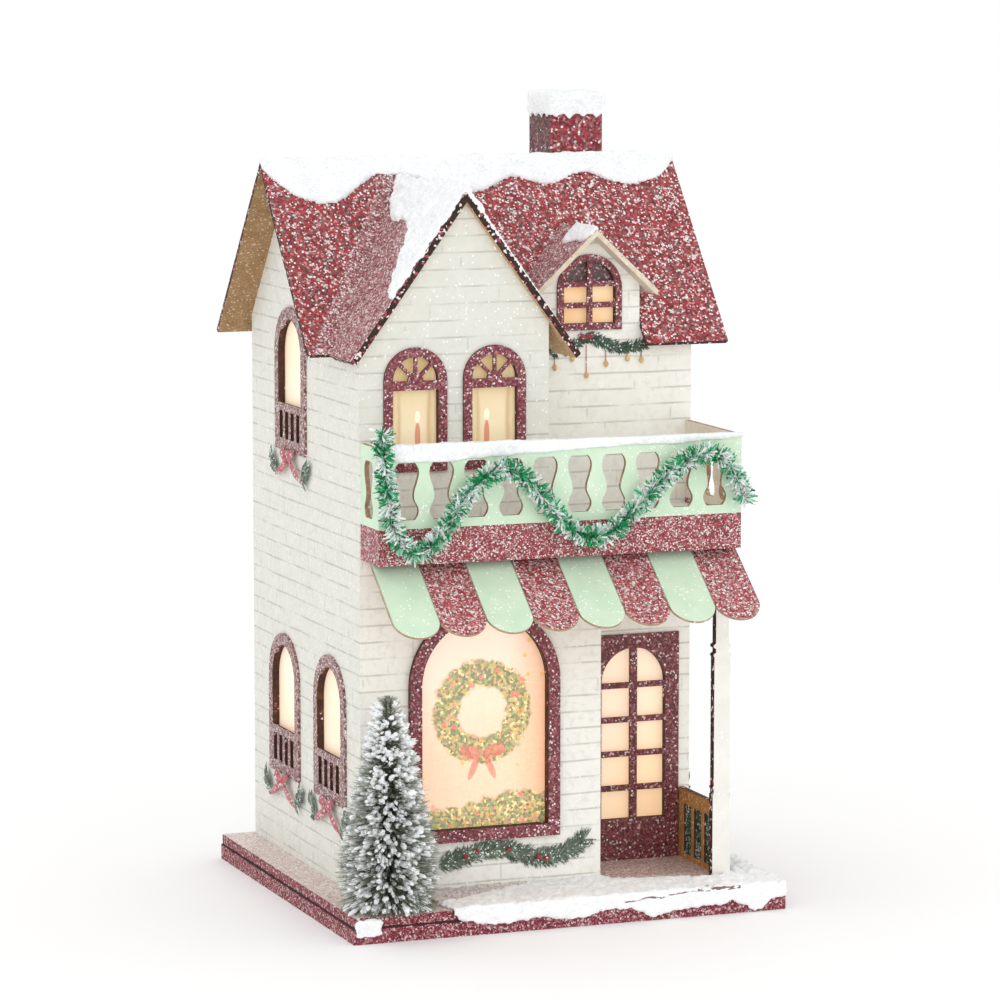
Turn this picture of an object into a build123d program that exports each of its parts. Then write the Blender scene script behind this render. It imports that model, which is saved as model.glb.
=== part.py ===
import math
import os

from build123d import *

# A glittered board Christmas house, lit from inside through film windows.
# Millimetres, +Z up. The front faces -Y and the origin is the middle of the base's underside.

# Stock: wall and roof board, trim board, window film, paper trims and snow paste
board = 1.8
trim = 1.0
film = 0.3
sticker = 0.4
snow = 1.3
film_margin = 1.5
overrun = 2.0
soft_gap = 0.3

# Base: a thick slab under a thinner deck
base_width = 170.0
base_depth = 161.0
slab_thickness = 5.8
deck_thickness = 4.0
deck_inset = 0.4

# House shell: a main block with a bay in front of its left part and a porch beside the bay
back_setback = 2.0
front_yard = 31.5
bay_depth = 29.0
bay_lower_width = 94.7
bay_upper_width = 73.7
porch_width = 48.3
upper_storey = 79.1

# Main roof
main_pitch = 50.0
eave_overhang = 6.0
verge = 12.0

# Cross gable over the bay, of thicker board, with its ridge to the right of the bay's middle
gable_board = 2.5
gable_pitch = 53.7
gable_ridge_drop = 8.5
gable_ridge_offset = 3.8
gable_eave_overhang = 5.9
gable_front_overhang = 3.0

# Dormer in the recessed front wall
dormer_gap = 7.0
dormer_width = 41.0
dormer_shoulder = 15.6
dormer_pitch = 43.0
dormer_eave_overhang = 3.5
dormer_front_overhang = 8.0
dormer_light_gap = 6.0

# Chimney behind the ridge, with a snow cap that runs down its sides
chimney_side_inset = 26.9
chimney_width = 21.5
chimney_depth = 22.0
chimney_set_back = 1.5
chimney_height = 23.7
chimney_cap = 0.8
chimney_skirt = 7.7
chimney_drip_radius = 1.5
chimney_drip_shares = ((0.14, 0.8), (0.37, 1.0), (0.62, 0.7), (0.86, 0.95))

# Balcony: floor, fascia and a railing with turned baluster cut-outs
balcony_inset = 0.5
balcony_projection = 19.7
fascia_rise = 125.4
fascia_height = 13.2
floor_drop = 2.0
rail_height = 29.4
gap_pitch = 13.4
gap_width = 9.4
gap_height = 20.8
gap_sill = 3.2
gap_neck_share = 0.66
gap_waist_share = 0.64
gap_bulge_share = 0.94
gap_bulge_height_share = 0.21
gap_waist_height_share = 0.35
gap_shoulder_height_share = 0.86

# Scalloped awning under the balcony
awning_stripes = 8
awning_slope = 37.5
awning_length = 53.0

# Big arched window of the bay
big_window_width = 59.0
big_window_height = 88.0
big_window_sill = 18.5
big_window_offset = 0.75
big_window_frame = 4.6
big_frame_depth = 2.4

# Two arched windows over the balcony, each with a fan above a transom
upper_window_width = 24.4
upper_window_height = 45.5
upper_window_rise = 31.3
upper_window_spacing = 30.7
upper_window_frame = 3.4
fan_bar = 1.3
fan_hub_radius = 3.0
fan_spokes = 3

# Arched side windows with a grille of slots at the foot
side_window_width = 36.0
side_window_height = 55.0
side_window_frame = 4.5
side_lower_sill = 30.2
side_upper_rise = 30.8
side_window_spacing = 54.3
side_window_gap = 6.0
left_windows_offset = -3.0
side_grille_height = 18.0
side_grille_rail = 3.0
side_slots = 4
side_slot_share = 0.58

# Dormer window: two columns under a round head
dormer_window_width = 26.0
dormer_window_height = 28.5
dormer_window_drop = 1.0
dormer_window_frame = 2.6
dormer_window_bar = 2.1
dormer_pane_height = 5.8

# Front door: two columns of panes under a round head, over a solid foot
door_width = 37.4
door_height = 87.2
door_offset = 0.65
door_kick = 15.9
door_light_width = 26.2
door_light_height = 66.0
door_mullion = 3.0
door_bar = 2.2
door_pane_pitch = 13.2
door_bars = 4

# Porch: a flat turned post and a side rail, a glitter board behind a thin slotted overlay
post_width = 7.2
post_inset = 7.4
post_edge_inset = 0.3
post_thickness = 3.4
post_neck = 1.0
post_shaft_neck = 0.4
post_bead_height = 2.8
post_block_height = 31.5
post_foot_bead_share = 0.274
post_top_bead_shares = (0.678, 0.706)
porch_overlay = 0.6
porch_rail_height = 26.7
porch_slot_pitch = 9.7
porch_slot_width = 6.8
porch_slot_height = 19.0
porch_slot_sill = 2.2

# Snow on the roofs, railing and base: how far it reaches down from each ridge or edge
ridge_snow_reach = 13.0
back_snow_reach = 9.0
gable_snow_reach = 29.0
gable_back_snow_reach = 9.0
dormer_snow_reach = 9.0
dormer_back_snow_reach = 2.5
dormer_snow_length = 27.0
rail_snow_reach = 5.5
rail_snow_rise = 1.0
rail_snow_skin = 0.8
deck_snow_margin = 38.0
deck_snow_porch_line = 9.0
deck_snow_right_line = 56.0
deck_snow_drip = 6.6

# Snow edges, as (place, depth) shares: place runs along the ridge or edge
ridge_snow_shares = ((-1.0, 0.14), (-0.9, 0.72), (-0.77, 1.0), (-0.67, 0.96), (-0.5, 0.44), (-0.2, 0.62),
                     (0.01, 0.8), (0.2, 0.5), (0.33, 0.67), (0.56, 0.42), (0.68, 0.66), (0.8, 0.68),
                     (0.91, 0.52), (1.0, 0.12))
back_snow_shares = ((-1.0, 0.3), (-0.8, 0.9), (-0.55, 0.6), (-0.3, 1.0), (0.0, 0.65), (0.25, 0.95),
                    (0.5, 0.7), (0.75, 1.0), (1.0, 0.25))
gable_snow_shares = ((-1.0, 0.04), (-0.78, 0.18), (-0.4, 0.36), (0.06, 0.36), (0.4, 0.56), (0.71, 0.87),
                     (0.86, 0.98), (1.0, 1.0))
gable_back_snow_shares = ((-1.0, 0.1), (-0.5, 0.8), (0.0, 0.55), (0.5, 1.0), (1.0, 0.7))
dormer_snow_shares = ((-1.0, 0.5), (-0.5, 1.0), (0.1, 0.8), (0.6, 0.75), (1.0, 0.3))
rail_snow_shares = ((-1.0, 0.5), (-0.83, 0.95), (-0.66, 1.0), (-0.45, 0.85), (-0.2, 0.7), (0.1, 0.6),
                    (0.35, 0.42), (0.6, 0.46), (0.82, 0.3), (1.0, 0.2))
deck_drip_shares = ((0.0, 0.25), (0.06, 0.75), (0.15, 0.95), (0.25, 0.7), (0.35, 1.0), (0.45, 0.5),
                    (0.53, 0.25), (0.6, 0.9), (0.67, 0.35), (0.78, 0.22), (0.86, 0.4), (0.91, 0.95),
                    (0.96, 0.35), (1.0, 0.25))

# Paper trims: swags under the side windows, garlands under the bay window and the dormer
swag_width = 46.0
swag_knot_radius = 1.8
swag_loop_length = 11.0
swag_loop_height = 6.0
swag_loop_turn = 24.0
swag_tail_length = 13.0
swag_tail_height = 3.0
swag_tail_turn = -52.0
swag_sprig_height = 6.0
swag_sprig_turn = -6.0
swag_drop = 3.2
window_garland_width = 58.0
window_garland_band = 5.0
window_garland_wave = 3.4
window_garland_gap = 6.6
window_garland_drop = 6.6
dormer_garland_band = 5.0
dormer_garland_drop = 6.0
dormer_string_width = 0.6
dormer_drop_radius = 2.0
dormer_drop_sides = 6
dormer_string_lengths = (8.0, 4.5, 11.5, 7.0, 5.0, 6.0)
dormer_string_shares = (-0.58, -0.29, -0.05, 0.28, 0.64, 0.88)
dormer_garland_shares = ((-1.0, 0.7), (-0.6, 1.0), (-0.25, 0.6), (0.0, 0.0), (0.25, 0.6), (0.6, 1.0),
                         (1.0, 0.7))
garland_steps = 12
garland_half_waves = 2.4
garland_peak_share = 0.34

# Tinsel along the railing: its core route, as (x, z) points above the deck
tinsel_diameter = 9.0
tinsel_sides = 8
tinsel_route = ((-71.5, 174.5), (-70.6, 162.5), (-69.4, 148.5), (-66.3, 135.0), (-58.0, 127.6),
                (-48.6, 136.5), (-40.6, 149.3), (-31.2, 159.2), (-20.6, 160.6), (-11.6, 151.4),
                (-4.0, 140.4), (5.4, 132.8), (16.0, 132.4), (26.6, 143.2), (37.6, 153.8),
                (48.4, 161.4), (58.4, 163.0), (66.4, 156.2), (70.4, 143.2))
arc_share = 0.45

# Bottle brush tree: bristles round a wire that is set into the deck
tree_side_inset = 17.0
tree_wall_gap = 1.4
tree_height = 78.5
tree_radius = 19.2
tree_tip_radius = 2.2
tree_foot = 5.0
tree_skirt_share = 0.16
tree_skirt_radius_share = 0.72
wire_radius = 0.9
sleeve_wall = 0.6
sleeve_sides = 8
bristle_count = 380
bristle_sides = 3
bristle_radius = 0.32
bristle_lift = 14.0

# Battery box, its hinged door and three cells
cell_diameter = 10.5
cell_length = 44.5
cell_count = 3
cell_gap = 0.5
cell_nub_radius = 1.9
cell_nub_length = 1.0
contact_depth = 3.6
contact_strip = 0.4
contact_width = 6.0
box_wall = 1.4
box_flange = 3.0
box_head_gap = 0.6
seat_clearance = 0.3
door_recess = 0.6
hatch_thickness = 1.6
hatch_gap = 0.4
barrel_radius = 1.4
pin_radius = 0.9
pin_clearance = 0.05
thumb_radius = 5.0

# Slide switch beside the battery box, and the lamp on top of it
switch_length = 17.0
switch_width = 8.5
switch_height = 5.0
switch_offset = 41.5
slot_width = 3.0
slider_length = 4.0
slider_travel = 4.0
slider_shoe_margin = 1.2
slider_shoe_thickness = 1.4
slide_gap = 0.2
knob_recess = 0.3
lamp_holder_radius = 7.0
lamp_holder_height = 3.0
lamp_radius = 5.0
lamp_tip_radius = 2.0
lamp_taper = 6.0
lamp_height = 13.0

# Levels and planes that follow from the sizes above
deck_top = slab_thickness + deck_thickness
house_width = bay_lower_width + porch_width
half_house = house_width / 2
main_depth = base_depth - back_setback - bay_depth - front_yard
back_face = base_depth / 2 - back_setback
door_face = back_face - main_depth
bay_face = door_face - bay_depth
bay_lower_edge = bay_lower_width - half_house
bay_upper_edge = bay_upper_width - half_house
wall_height = fascia_rise + upper_storey
plate = deck_top + wall_height
main_tan = math.tan(math.radians(main_pitch))
dormer_tan = math.tan(math.radians(dormer_pitch))
ridge_y = (back_face + door_face) / 2
ridge_under = plate + main_depth / 2 * main_tan
ridge_top = ridge_under + board / math.cos(math.radians(main_pitch))
bay_upper_centre = bay_upper_width / 2 - half_house
gable_centre = bay_upper_centre + gable_ridge_offset
gable_under = ridge_under - gable_ridge_drop
gable_tan = math.tan(math.radians(gable_pitch))
gable_front = bay_face - gable_front_overhang
shoulder = plate + dormer_shoulder
dormer_centre = bay_upper_edge + dormer_gap + dormer_width / 2
dormer_under = shoulder + dormer_width / 2 * dormer_tan
dormer_front = door_face - dormer_front_overhang
balcony_front = bay_face - balcony_projection
half_balcony = half_house - balcony_inset
fascia_low = deck_top + fascia_rise
fascia_top = fascia_low + fascia_height
floor_top = fascia_top - floor_drop
floor_low = floor_top - board
chimney_centre = half_house - chimney_side_inset
chimney_front = ridge_y + chimney_set_back
chimney_top = ridge_top + chimney_height
big_window_centre = bay_lower_width / 2 - half_house + big_window_offset
upper_window_sill = fascia_rise + upper_window_rise
side_upper_sill = fascia_rise + side_upper_rise
left_windows_centre = (bay_face + back_face) / 2 + left_windows_offset
dormer_window_sill = wall_height - dormer_window_drop
door_centre = (bay_lower_edge + half_house) / 2 + door_offset
deck_snow_start = deck_snow_margin - base_width / 2
window_garland_centre = bay_lower_edge - window_garland_gap - window_garland_width / 2
tree_x = tree_side_inset - base_width / 2
tree_y = bay_face - tree_wall_gap - tree_radius
box_centre_y = ridge_y
up = Vector(0, 0, 1)


def front_board(sketch, face, thickness=board):
    # A board in an XZ plane: its front is at y = face and it is thick towards +Y.
    return extrude(Plane.XZ.offset(-face) * sketch, -thickness)


def side_board(sketch, face, thickness=board):
    # A board in a YZ plane: it starts at x = face and is thick towards +X.
    return extrude(Plane.YZ.offset(face) * sketch, thickness)


def plan_board(sketch, level, thickness=board):
    return extrude(Plane.XY.offset(level) * sketch, thickness)


def span(low, high, bottom, top):
    return Pos((low + high) / 2, (bottom + top) / 2) * Rectangle(high - low, top - bottom)


def block(low_x, high_x, low_y, high_y, low_z, high_z):
    return plan_board(span(low_x, high_x, low_y, high_y), low_z, high_z - low_z)


def arch(width, height):
    # A round-headed outline that stands on the origin.
    straight = height - width / 2
    return span(-width / 2, width / 2, 0, straight) + Pos(0, straight) * Circle(width / 2)


def arch_frame(width, height, frame):
    return arch(width, height) - Pos(0, frame) * arch(width - 2 * frame, height - 2 * frame)


def arch_opening(width, height, frame):
    return Pos(0, frame) * arch(width - 2 * frame, height - 2 * frame)


def arch_pane(width, height, frame):
    # A pane that laps the back of the opening by the film's margin.
    lap = frame - film_margin
    return Pos(0, lap) * arch(width - 2 * lap, height - 2 * lap)


def slope_board(ridge, outward, run, pitch, reach, thickness=board):
    # A roof board: plumb at the ridge, square at the eave. The ridge point is on its underside.
    angle = math.radians(pitch)
    rise = run * math.tan(angle)
    section = Polygon(
        (0, 0),
        (run, -rise),
        (run + thickness * math.sin(angle), thickness * math.cos(angle) - rise),
        (0, thickness / math.cos(angle)),
        align=None,
    )
    plane = Plane(origin=ridge, x_dir=outward, z_dir=outward.cross(up))
    return extrude(plane * section, amount=reach.length, dir=reach.normalized())


def roof_pair(ridge, outward, run, pitch, reach, thickness=board):
    return (slope_board(ridge, outward * -1, run, pitch, reach, thickness),
            slope_board(ridge, outward, run, pitch, reach, thickness))


def under_ridge(ridge_high, pitch, reach, plane):
    # A long prism of all that lies under two slopes.
    fall = reach * math.tan(math.radians(pitch))
    section = Polygon((-reach, -fall), (0, 0), (reach, -fall), align=None)
    return extrude(plane * Pos(0, ridge_high) * section, house_width, both=True)


# Base with the battery box's opening, the switch's pocket and the tree's hole
def cell_bed():
    length = cell_length + 2 * contact_depth
    width = cell_count * cell_diameter + (cell_count + 1) * cell_gap
    return length, width


bed_length, bed_width = cell_bed()
box_length = bed_length + 2 * box_wall
box_width = bed_width + 2 * box_wall
flange_top = door_recess + box_wall
cell_axis = door_recess + hatch_thickness + box_head_gap + cell_diameter / 2
box_ceiling = cell_axis + cell_diameter / 2 + box_head_gap
box_top = box_ceiling + box_wall
hinge_x = hatch_gap + barrel_radius - bed_length / 2
hinge_z = door_recess + barrel_radius


def rectangle_at(x, y, length, width):
    return Pos(x, y) * Rectangle(length, width)


def base_parts():
    outline = Rectangle(base_width, base_depth)
    box_hole = rectangle_at(0, box_centre_y, box_length + 2 * seat_clearance,
                            box_width + 2 * seat_clearance)
    rebate = 2 * (box_flange + seat_clearance)
    flange_hole = rectangle_at(0, box_centre_y, box_length + rebate, box_width + rebate)
    switch_hole = rectangle_at(switch_offset, box_centre_y, switch_width + 2 * seat_clearance,
                               switch_length + 2 * seat_clearance)
    slab = plan_board(outline - box_hole - switch_hole, 0, slab_thickness)
    slab -= plan_board(flange_hole, -overrun, flange_top + overrun)
    wire_hole = Pos(tree_x, tree_y) * Circle(wire_radius + pin_clearance)
    deck_outline = Rectangle(base_width - 2 * deck_inset, base_depth - 2 * deck_inset)
    deck = plan_board(deck_outline - box_hole - wire_hole, slab_thickness, deck_thickness)
    return {"base_slab": slab, "base_deck": deck}


# Roof boards, each cut where it meets another
under_main = under_ridge(ridge_top, main_pitch, main_depth, Plane.YZ * Pos(ridge_y, 0))


def roof_parts():
    along = Vector(house_width + 2 * verge, 0, 0)
    left_end = Vector(-half_house - verge, ridge_y, ridge_under)
    front, back = roof_pair(left_end, Vector(0, 1, 0), main_depth / 2 + eave_overhang, main_pitch, along)
    gable_reach = Vector(0, ridge_y - gable_front, 0)
    gable_run = bay_upper_width / 2 + gable_eave_overhang
    gable_left, gable_right = roof_pair(Vector(gable_centre, gable_front, gable_under), Vector(1, 0, 0),
                                        gable_run, gable_pitch, gable_reach, gable_board)
    dormer_reach = Vector(0, ridge_y - dormer_front, 0)
    dormer_run = dormer_width / 2 + dormer_eave_overhang
    dormer_left, dormer_right = roof_pair(Vector(dormer_centre, dormer_front, dormer_under),
                                          Vector(1, 0, 0), dormer_run, dormer_pitch, dormer_reach)
    # The bay stays open under the cross gable, and the dormer's wall rises through a notch.
    front -= under_ridge(gable_under, gable_pitch, bay_upper_width, Plane.XZ * Pos(gable_centre, 0))
    notch_left = dormer_centre - dormer_width / 2
    notch_right = dormer_centre + dormer_width / 2
    wall_back = door_face + board
    front -= block(notch_left, notch_right, bay_face, wall_back, deck_top, ridge_top)
    front -= block(notch_left + board, notch_right - board, door_face, wall_back + dormer_light_gap,
                   deck_top, ridge_top)
    core = front_board(
        Polygon((notch_left, plate), (notch_right, plate), (notch_right, shoulder),
                (dormer_centre, dormer_under), (notch_left, shoulder), align=None),
        wall_back, ridge_y - wall_back) - under_main
    inside = block(notch_left + board, notch_right - board, wall_back - overrun, ridge_y, plate, ridge_top)
    return {
        "main_roof_front": front,
        "main_roof_back": back,
        "gable_roof_left": gable_left - under_main,
        "gable_roof_right": gable_right - under_main,
        "dormer_roof_left": dormer_left - under_main,
        "dormer_roof_right": dormer_right - under_main,
        "dormer_cheeks": core - inside,
    }


# Windows and door, as sketches on their own walls
def on_wall(sketch, across, sill):
    return Pos(across, deck_top + sill) * sketch


def upper_window_places():
    return [bay_upper_centre + side * upper_window_spacing / 2 for side in (-1, 1)]


def left_window_places():
    low = [(left_windows_centre + side * side_window_spacing / 2, side_lower_sill) for side in (-1, 1)]
    return low + [(ridge_y, side_upper_sill)]


def right_window_places():
    room = main_depth - 2 * board
    count = int(room // (side_window_width + side_window_gap))
    low = [(ridge_y + (index - (count - 1) / 2) * room / count, side_lower_sill) for index in range(count)]
    return low + [(ridge_y, side_upper_sill)]


def upper_window_sketch():
    inner = upper_window_width / 2 - upper_window_frame
    spring = upper_window_height - upper_window_width / 2
    bars = span(-inner, inner, spring - upper_window_frame, spring)
    fan = Circle(fan_hub_radius)
    for spoke in range(fan_spokes):
        turn = 180 * (spoke + 1) / (fan_spokes + 1)
        fan += Rot(0, 0, turn) * span(0, inner + upper_window_frame / 2, -fan_bar / 2, fan_bar / 2)
    fan &= span(-inner - upper_window_frame, inner + upper_window_frame, -upper_window_frame, inner * 2)
    frame = arch_frame(upper_window_width, upper_window_height, upper_window_frame)
    return frame + bars + Pos(0, spring) * fan


def side_window_sketch():
    inner = side_window_width - 2 * side_window_frame
    pitch = inner / side_slots
    foot = span(-inner / 2, inner / 2, side_window_frame, side_grille_height)
    slot_height = side_grille_height - side_grille_rail - side_window_frame
    for slot in range(side_slots):
        middle = (slot + 0.5 - side_slots / 2) * pitch
        half = pitch * side_slot_share / 2
        foot -= span(middle - half, middle + half, side_window_frame, side_window_frame + slot_height)
    return arch_frame(side_window_width, side_window_height, side_window_frame) + foot


def dormer_window_sketch():
    inner = dormer_window_width / 2 - dormer_window_frame
    bars = span(-dormer_window_bar / 2, dormer_window_bar / 2, dormer_window_frame,
                dormer_window_height - dormer_window_frame)
    for row in (1, 2):
        top = dormer_window_frame + row * (dormer_pane_height + dormer_window_bar)
        bars += span(-inner, inner, top - dormer_window_bar, top)
    return arch_frame(dormer_window_width, dormer_window_height, dormer_window_frame) + bars


def door_light_sketch():
    return Pos(0, door_kick) * arch(door_light_width, door_light_height)


def door_sketch():
    bars = span(-door_mullion / 2, door_mullion / 2, door_kick, door_height)
    for row in range(1, door_bars + 1):
        top = door_kick + row * door_pane_pitch
        bars += span(-door_light_width / 2, door_light_width / 2, top - door_bar, top)
    return span(-door_width / 2, door_width / 2, 0, door_height) - door_light_sketch() + bars


def window_parts():
    big = (big_window_width, big_window_height, big_window_frame)
    upper = (upper_window_width, upper_window_height, upper_window_frame)
    side = (side_window_width, side_window_height, side_window_frame)
    small = (dormer_window_width, dormer_window_height, dormer_window_frame)
    made = {
        "big_window_frame": front_board(on_wall(arch_frame(*big), big_window_centre, big_window_sill),
                                        bay_face - big_frame_depth, big_frame_depth),
        "big_window_film": front_board(on_wall(arch_pane(*big), big_window_centre, big_window_sill),
                                       bay_face + board, film),
        "dormer_window_frame": front_board(
            on_wall(dormer_window_sketch(), dormer_centre, dormer_window_sill), door_face - trim, trim),
        "dormer_window_film": front_board(on_wall(arch_pane(*small), dormer_centre, dormer_window_sill),
                                          door_face + board, film),
        "front_door": front_board(on_wall(door_sketch(), door_centre, 0), door_face - trim, trim),
        "door_film": front_board(
            on_wall(Pos(0, door_kick - film_margin)
                    * arch(door_light_width + 2 * film_margin, door_light_height + 2 * film_margin),
                    door_centre, 0), door_face + board, film),
    }
    for name, across in zip(("left", "right"), upper_window_places()):
        made[f"upper_window_frame_{name}"] = front_board(
            on_wall(upper_window_sketch(), across, upper_window_sill), bay_face - trim, trim)
    made["upper_window_films"] = Compound([
        front_board(on_wall(arch_pane(*upper), across, upper_window_sill), bay_face + board, film)
        for across in upper_window_places()])
    sides = {"left": (left_window_places(), -half_house - trim, board - half_house),
             "right": (right_window_places(), half_house, half_house - board - film)}
    side_films = []
    for name, (places, frame_face, film_face) in sides.items():
        made[f"{name}_window_frames"] = Compound([
            side_board(on_wall(side_window_sketch(), across, sill), frame_face, trim)
            for across, sill in places])
        side_films += [side_board(on_wall(arch_pane(*side), across, sill), film_face, film)
                       for across, sill in places]
    made["side_window_films"] = Compound(side_films)
    return made


# Walls, cut for their windows and bevelled by the roofs that they carry
def wall_parts(roofs):
    bevel = board * max(main_tan, gable_tan)
    big_hole = on_wall(arch_opening(big_window_width, big_window_height, big_window_frame),
                       big_window_centre, big_window_sill)
    upper_hole = arch_opening(upper_window_width, upper_window_height, upper_window_frame)
    side_hole = arch_opening(side_window_width, side_window_height, side_window_frame)
    dormer_hole = arch_opening(dormer_window_width, dormer_window_height, dormer_window_frame)

    fall = house_width * gable_tan
    under_gable = Polygon((gable_centre - house_width, gable_under - fall), (gable_centre, gable_under),
                          (gable_centre + house_width, gable_under - fall), align=None)
    bay = span(-half_house, bay_upper_edge, floor_low, gable_under) & under_gable
    bay += span(-half_house, bay_lower_edge, deck_top, floor_low)
    bay -= big_hole
    for across in upper_window_places():
        bay -= on_wall(upper_hole, across, upper_window_sill)

    front = bay_face + board
    rear = back_face - board
    left = Polygon((front, deck_top), (rear, deck_top), (rear, plate + board * main_tan),
                   (ridge_y, ridge_under), (door_face, plate + bevel), (front, plate + bevel), align=None)
    for across, sill in left_window_places():
        left -= on_wall(side_hole, across, sill)

    recess = door_face + board
    right = Polygon((recess, deck_top), (rear, deck_top), (rear, plate + board * main_tan),
                    (ridge_y, ridge_under), (recess, plate + board * main_tan), align=None)
    for across, sill in right_window_places():
        right -= on_wall(side_hole, across, sill)

    lower = bay_lower_edge - board
    upper = bay_upper_edge - board
    notch_left = dormer_centre - dormer_width / 2
    notch_right = dormer_centre + dormer_width / 2
    door_outline = Polygon(
        (lower, deck_top), (half_house, deck_top), (half_house, plate + bevel),
        (notch_right, plate + bevel), (notch_right, shoulder), (dormer_centre, dormer_under),
        (notch_left, shoulder), (notch_left, plate + bevel), (upper, plate + bevel),
        (upper, floor_low), (lower, floor_low), align=None)
    # Beside the bay the wall follows the gable's slope where that is higher than the plate.
    door_outline += span(upper, notch_left, floor_low, gable_under) & under_gable
    door_outline -= on_wall(door_light_sketch(), door_centre, 0)
    door_outline -= on_wall(dormer_hole, dormer_centre, dormer_window_sill)

    back = span(-half_house, half_house, deck_top, plate + bevel)
    return_top = gable_under - (upper - gable_centre) * gable_tan
    walls = {
        "bay_front_wall": front_board(bay, bay_face),
        "left_wall": side_board(left, -half_house),
        "right_wall": side_board(right, half_house - board),
        "back_wall": front_board(back, rear),
        "door_wall": front_board(door_outline, door_face),
        "bay_return_lower": side_board(span(front, door_face, deck_top, floor_low), lower),
        "bay_return_upper": side_board(span(front, door_face, floor_top, return_top), upper),
    }
    carried = {
        "left_wall": ("main_roof_front", "gable_roof_left"),
        "back_wall": ("main_roof_back",),
        "door_wall": ("main_roof_front", "gable_roof_right"),
        "bay_return_upper": ("main_roof_front", "gable_roof_right"),
    }
    for wall, covers in carried.items():
        for cover in covers:
            walls[wall] -= roofs[cover]
    # What a roof cuts loose above itself is offcut.
    return {name: max(wall.solids(), key=lambda solid: solid.volume) for name, wall in walls.items()}


# Chimney: a square board tube cut to the back slope, with its snow cap
def chimney_outline():
    half = chimney_width / 2
    return chimney_centre - half, chimney_centre + half, chimney_front, chimney_front + chimney_depth


def chimney_parts():
    outer = chimney_outline()
    foot = ridge_top - (chimney_set_back + chimney_depth) * main_tan - overrun
    bore = (outer[0] + board, outer[1] - board, outer[2] + board, outer[3] - board)
    tube = block(*outer, foot, chimney_top) - block(*bore, foot - overrun, chimney_top + overrun)
    skirt = chimney_top - chimney_skirt
    low_x, low_y = outer[0] - chimney_cap, outer[2] - chimney_cap
    across = chimney_width + 2 * chimney_cap
    deep = chimney_depth + 2 * chimney_cap
    cap = block(low_x, low_x + across, low_y, low_y + deep, skirt, chimney_top + chimney_cap)
    for place_share, size_share in chimney_drip_shares:
        drip = Circle(chimney_drip_radius * size_share)
        cap += front_board(Pos(low_x + across * place_share, skirt) * drip, low_y, deep)
        cap += side_board(Pos(low_y + deep * place_share, skirt) * drip, low_x, across)
    return {"chimney": tube - under_main, "chimney_snow": cap - block(*outer, foot, chimney_top)}


# Balcony: a floor board inside a fascia, with the railing standing on the fascia
def baluster_gap():
    # The space between two turned balusters, standing on the origin.
    half = gap_width / 2
    neck = half * gap_neck_share
    waist = (half * gap_waist_share, gap_height * gap_waist_height_share)
    bulge = (half * gap_bulge_share, gap_height * gap_bulge_height_share)
    shoulder_point = (half, gap_height * gap_shoulder_height_share)
    right = [(neck, 0), bulge, waist, shoulder_point, (neck, gap_height)]
    left = [(-across, level) for across, level in reversed(right)]
    return wavy_face(right, left)


def railing(length, board_maker, start, face):
    gaps = int((length - gap_width) // gap_pitch) + 1
    first = start + (length - (gaps - 1) * gap_pitch) / 2
    sketch = span(start, start + length, fascia_top, fascia_top + rail_height)
    for index in range(gaps):
        sketch -= Pos(first + index * gap_pitch, fascia_top + gap_sill) * baluster_gap()
    return board_maker(sketch, face)


def balcony_parts():
    inner = half_balcony - board
    behind = balcony_front + board
    floor = span(-inner, inner, behind, bay_face) + span(bay_upper_edge, inner, bay_face, door_face)
    floor += span(bay_upper_edge - board, bay_upper_edge, bay_face + board, door_face)
    fascia = (fascia_low, fascia_top)
    return {
        "balcony_floor": plan_board(floor, floor_low),
        "fascia_front": front_board(span(-half_balcony, half_balcony, *fascia), balcony_front),
        "fascia_left": side_board(span(behind, bay_face, *fascia), -half_balcony),
        "fascia_right": side_board(span(behind, door_face, *fascia), inner),
        "rail_front": railing(2 * half_balcony, front_board, -half_balcony, balcony_front),
        "rail_left": railing(bay_face - behind, side_board, behind, -half_balcony),
        "rail_right": railing(door_face - behind, side_board, behind, inner),
    }


# Awning: one scalloped board, hung in the corner between the bay and the balcony floor
def awning_plane():
    angle = math.radians(awning_slope)
    normal = Vector(0, -math.sin(angle), math.cos(angle))
    return Plane(origin=(0, bay_face, floor_low), x_dir=(1, 0, 0), z_dir=normal)


def awning_part(balcony):
    stripe = house_width / awning_stripes
    straight = awning_length - stripe / 2
    sketch = span(-half_house, half_house, -straight, trim)
    for index in range(awning_stripes):
        sketch += Pos((index + 0.5) * stripe - half_house, -straight) * Circle(stripe / 2)
    sheet = extrude(awning_plane() * sketch, -trim)
    sheet -= block(-half_house, half_house, bay_face, door_face, deck_top, fascia_top)
    sheet -= block(-half_house, half_house, balcony_front, bay_face, floor_low, fascia_top)
    for side in ("fascia_left", "fascia_right"):
        sheet -= balcony[side]
    # The ends that stand outside the side fascias are trimmed off level with them.
    for low, high in ((-half_house, -half_balcony), (half_balcony, half_house)):
        sheet -= block(low, high, balcony_front, bay_face, fascia_low, floor_low)
    return {"awning": sheet}


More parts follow.
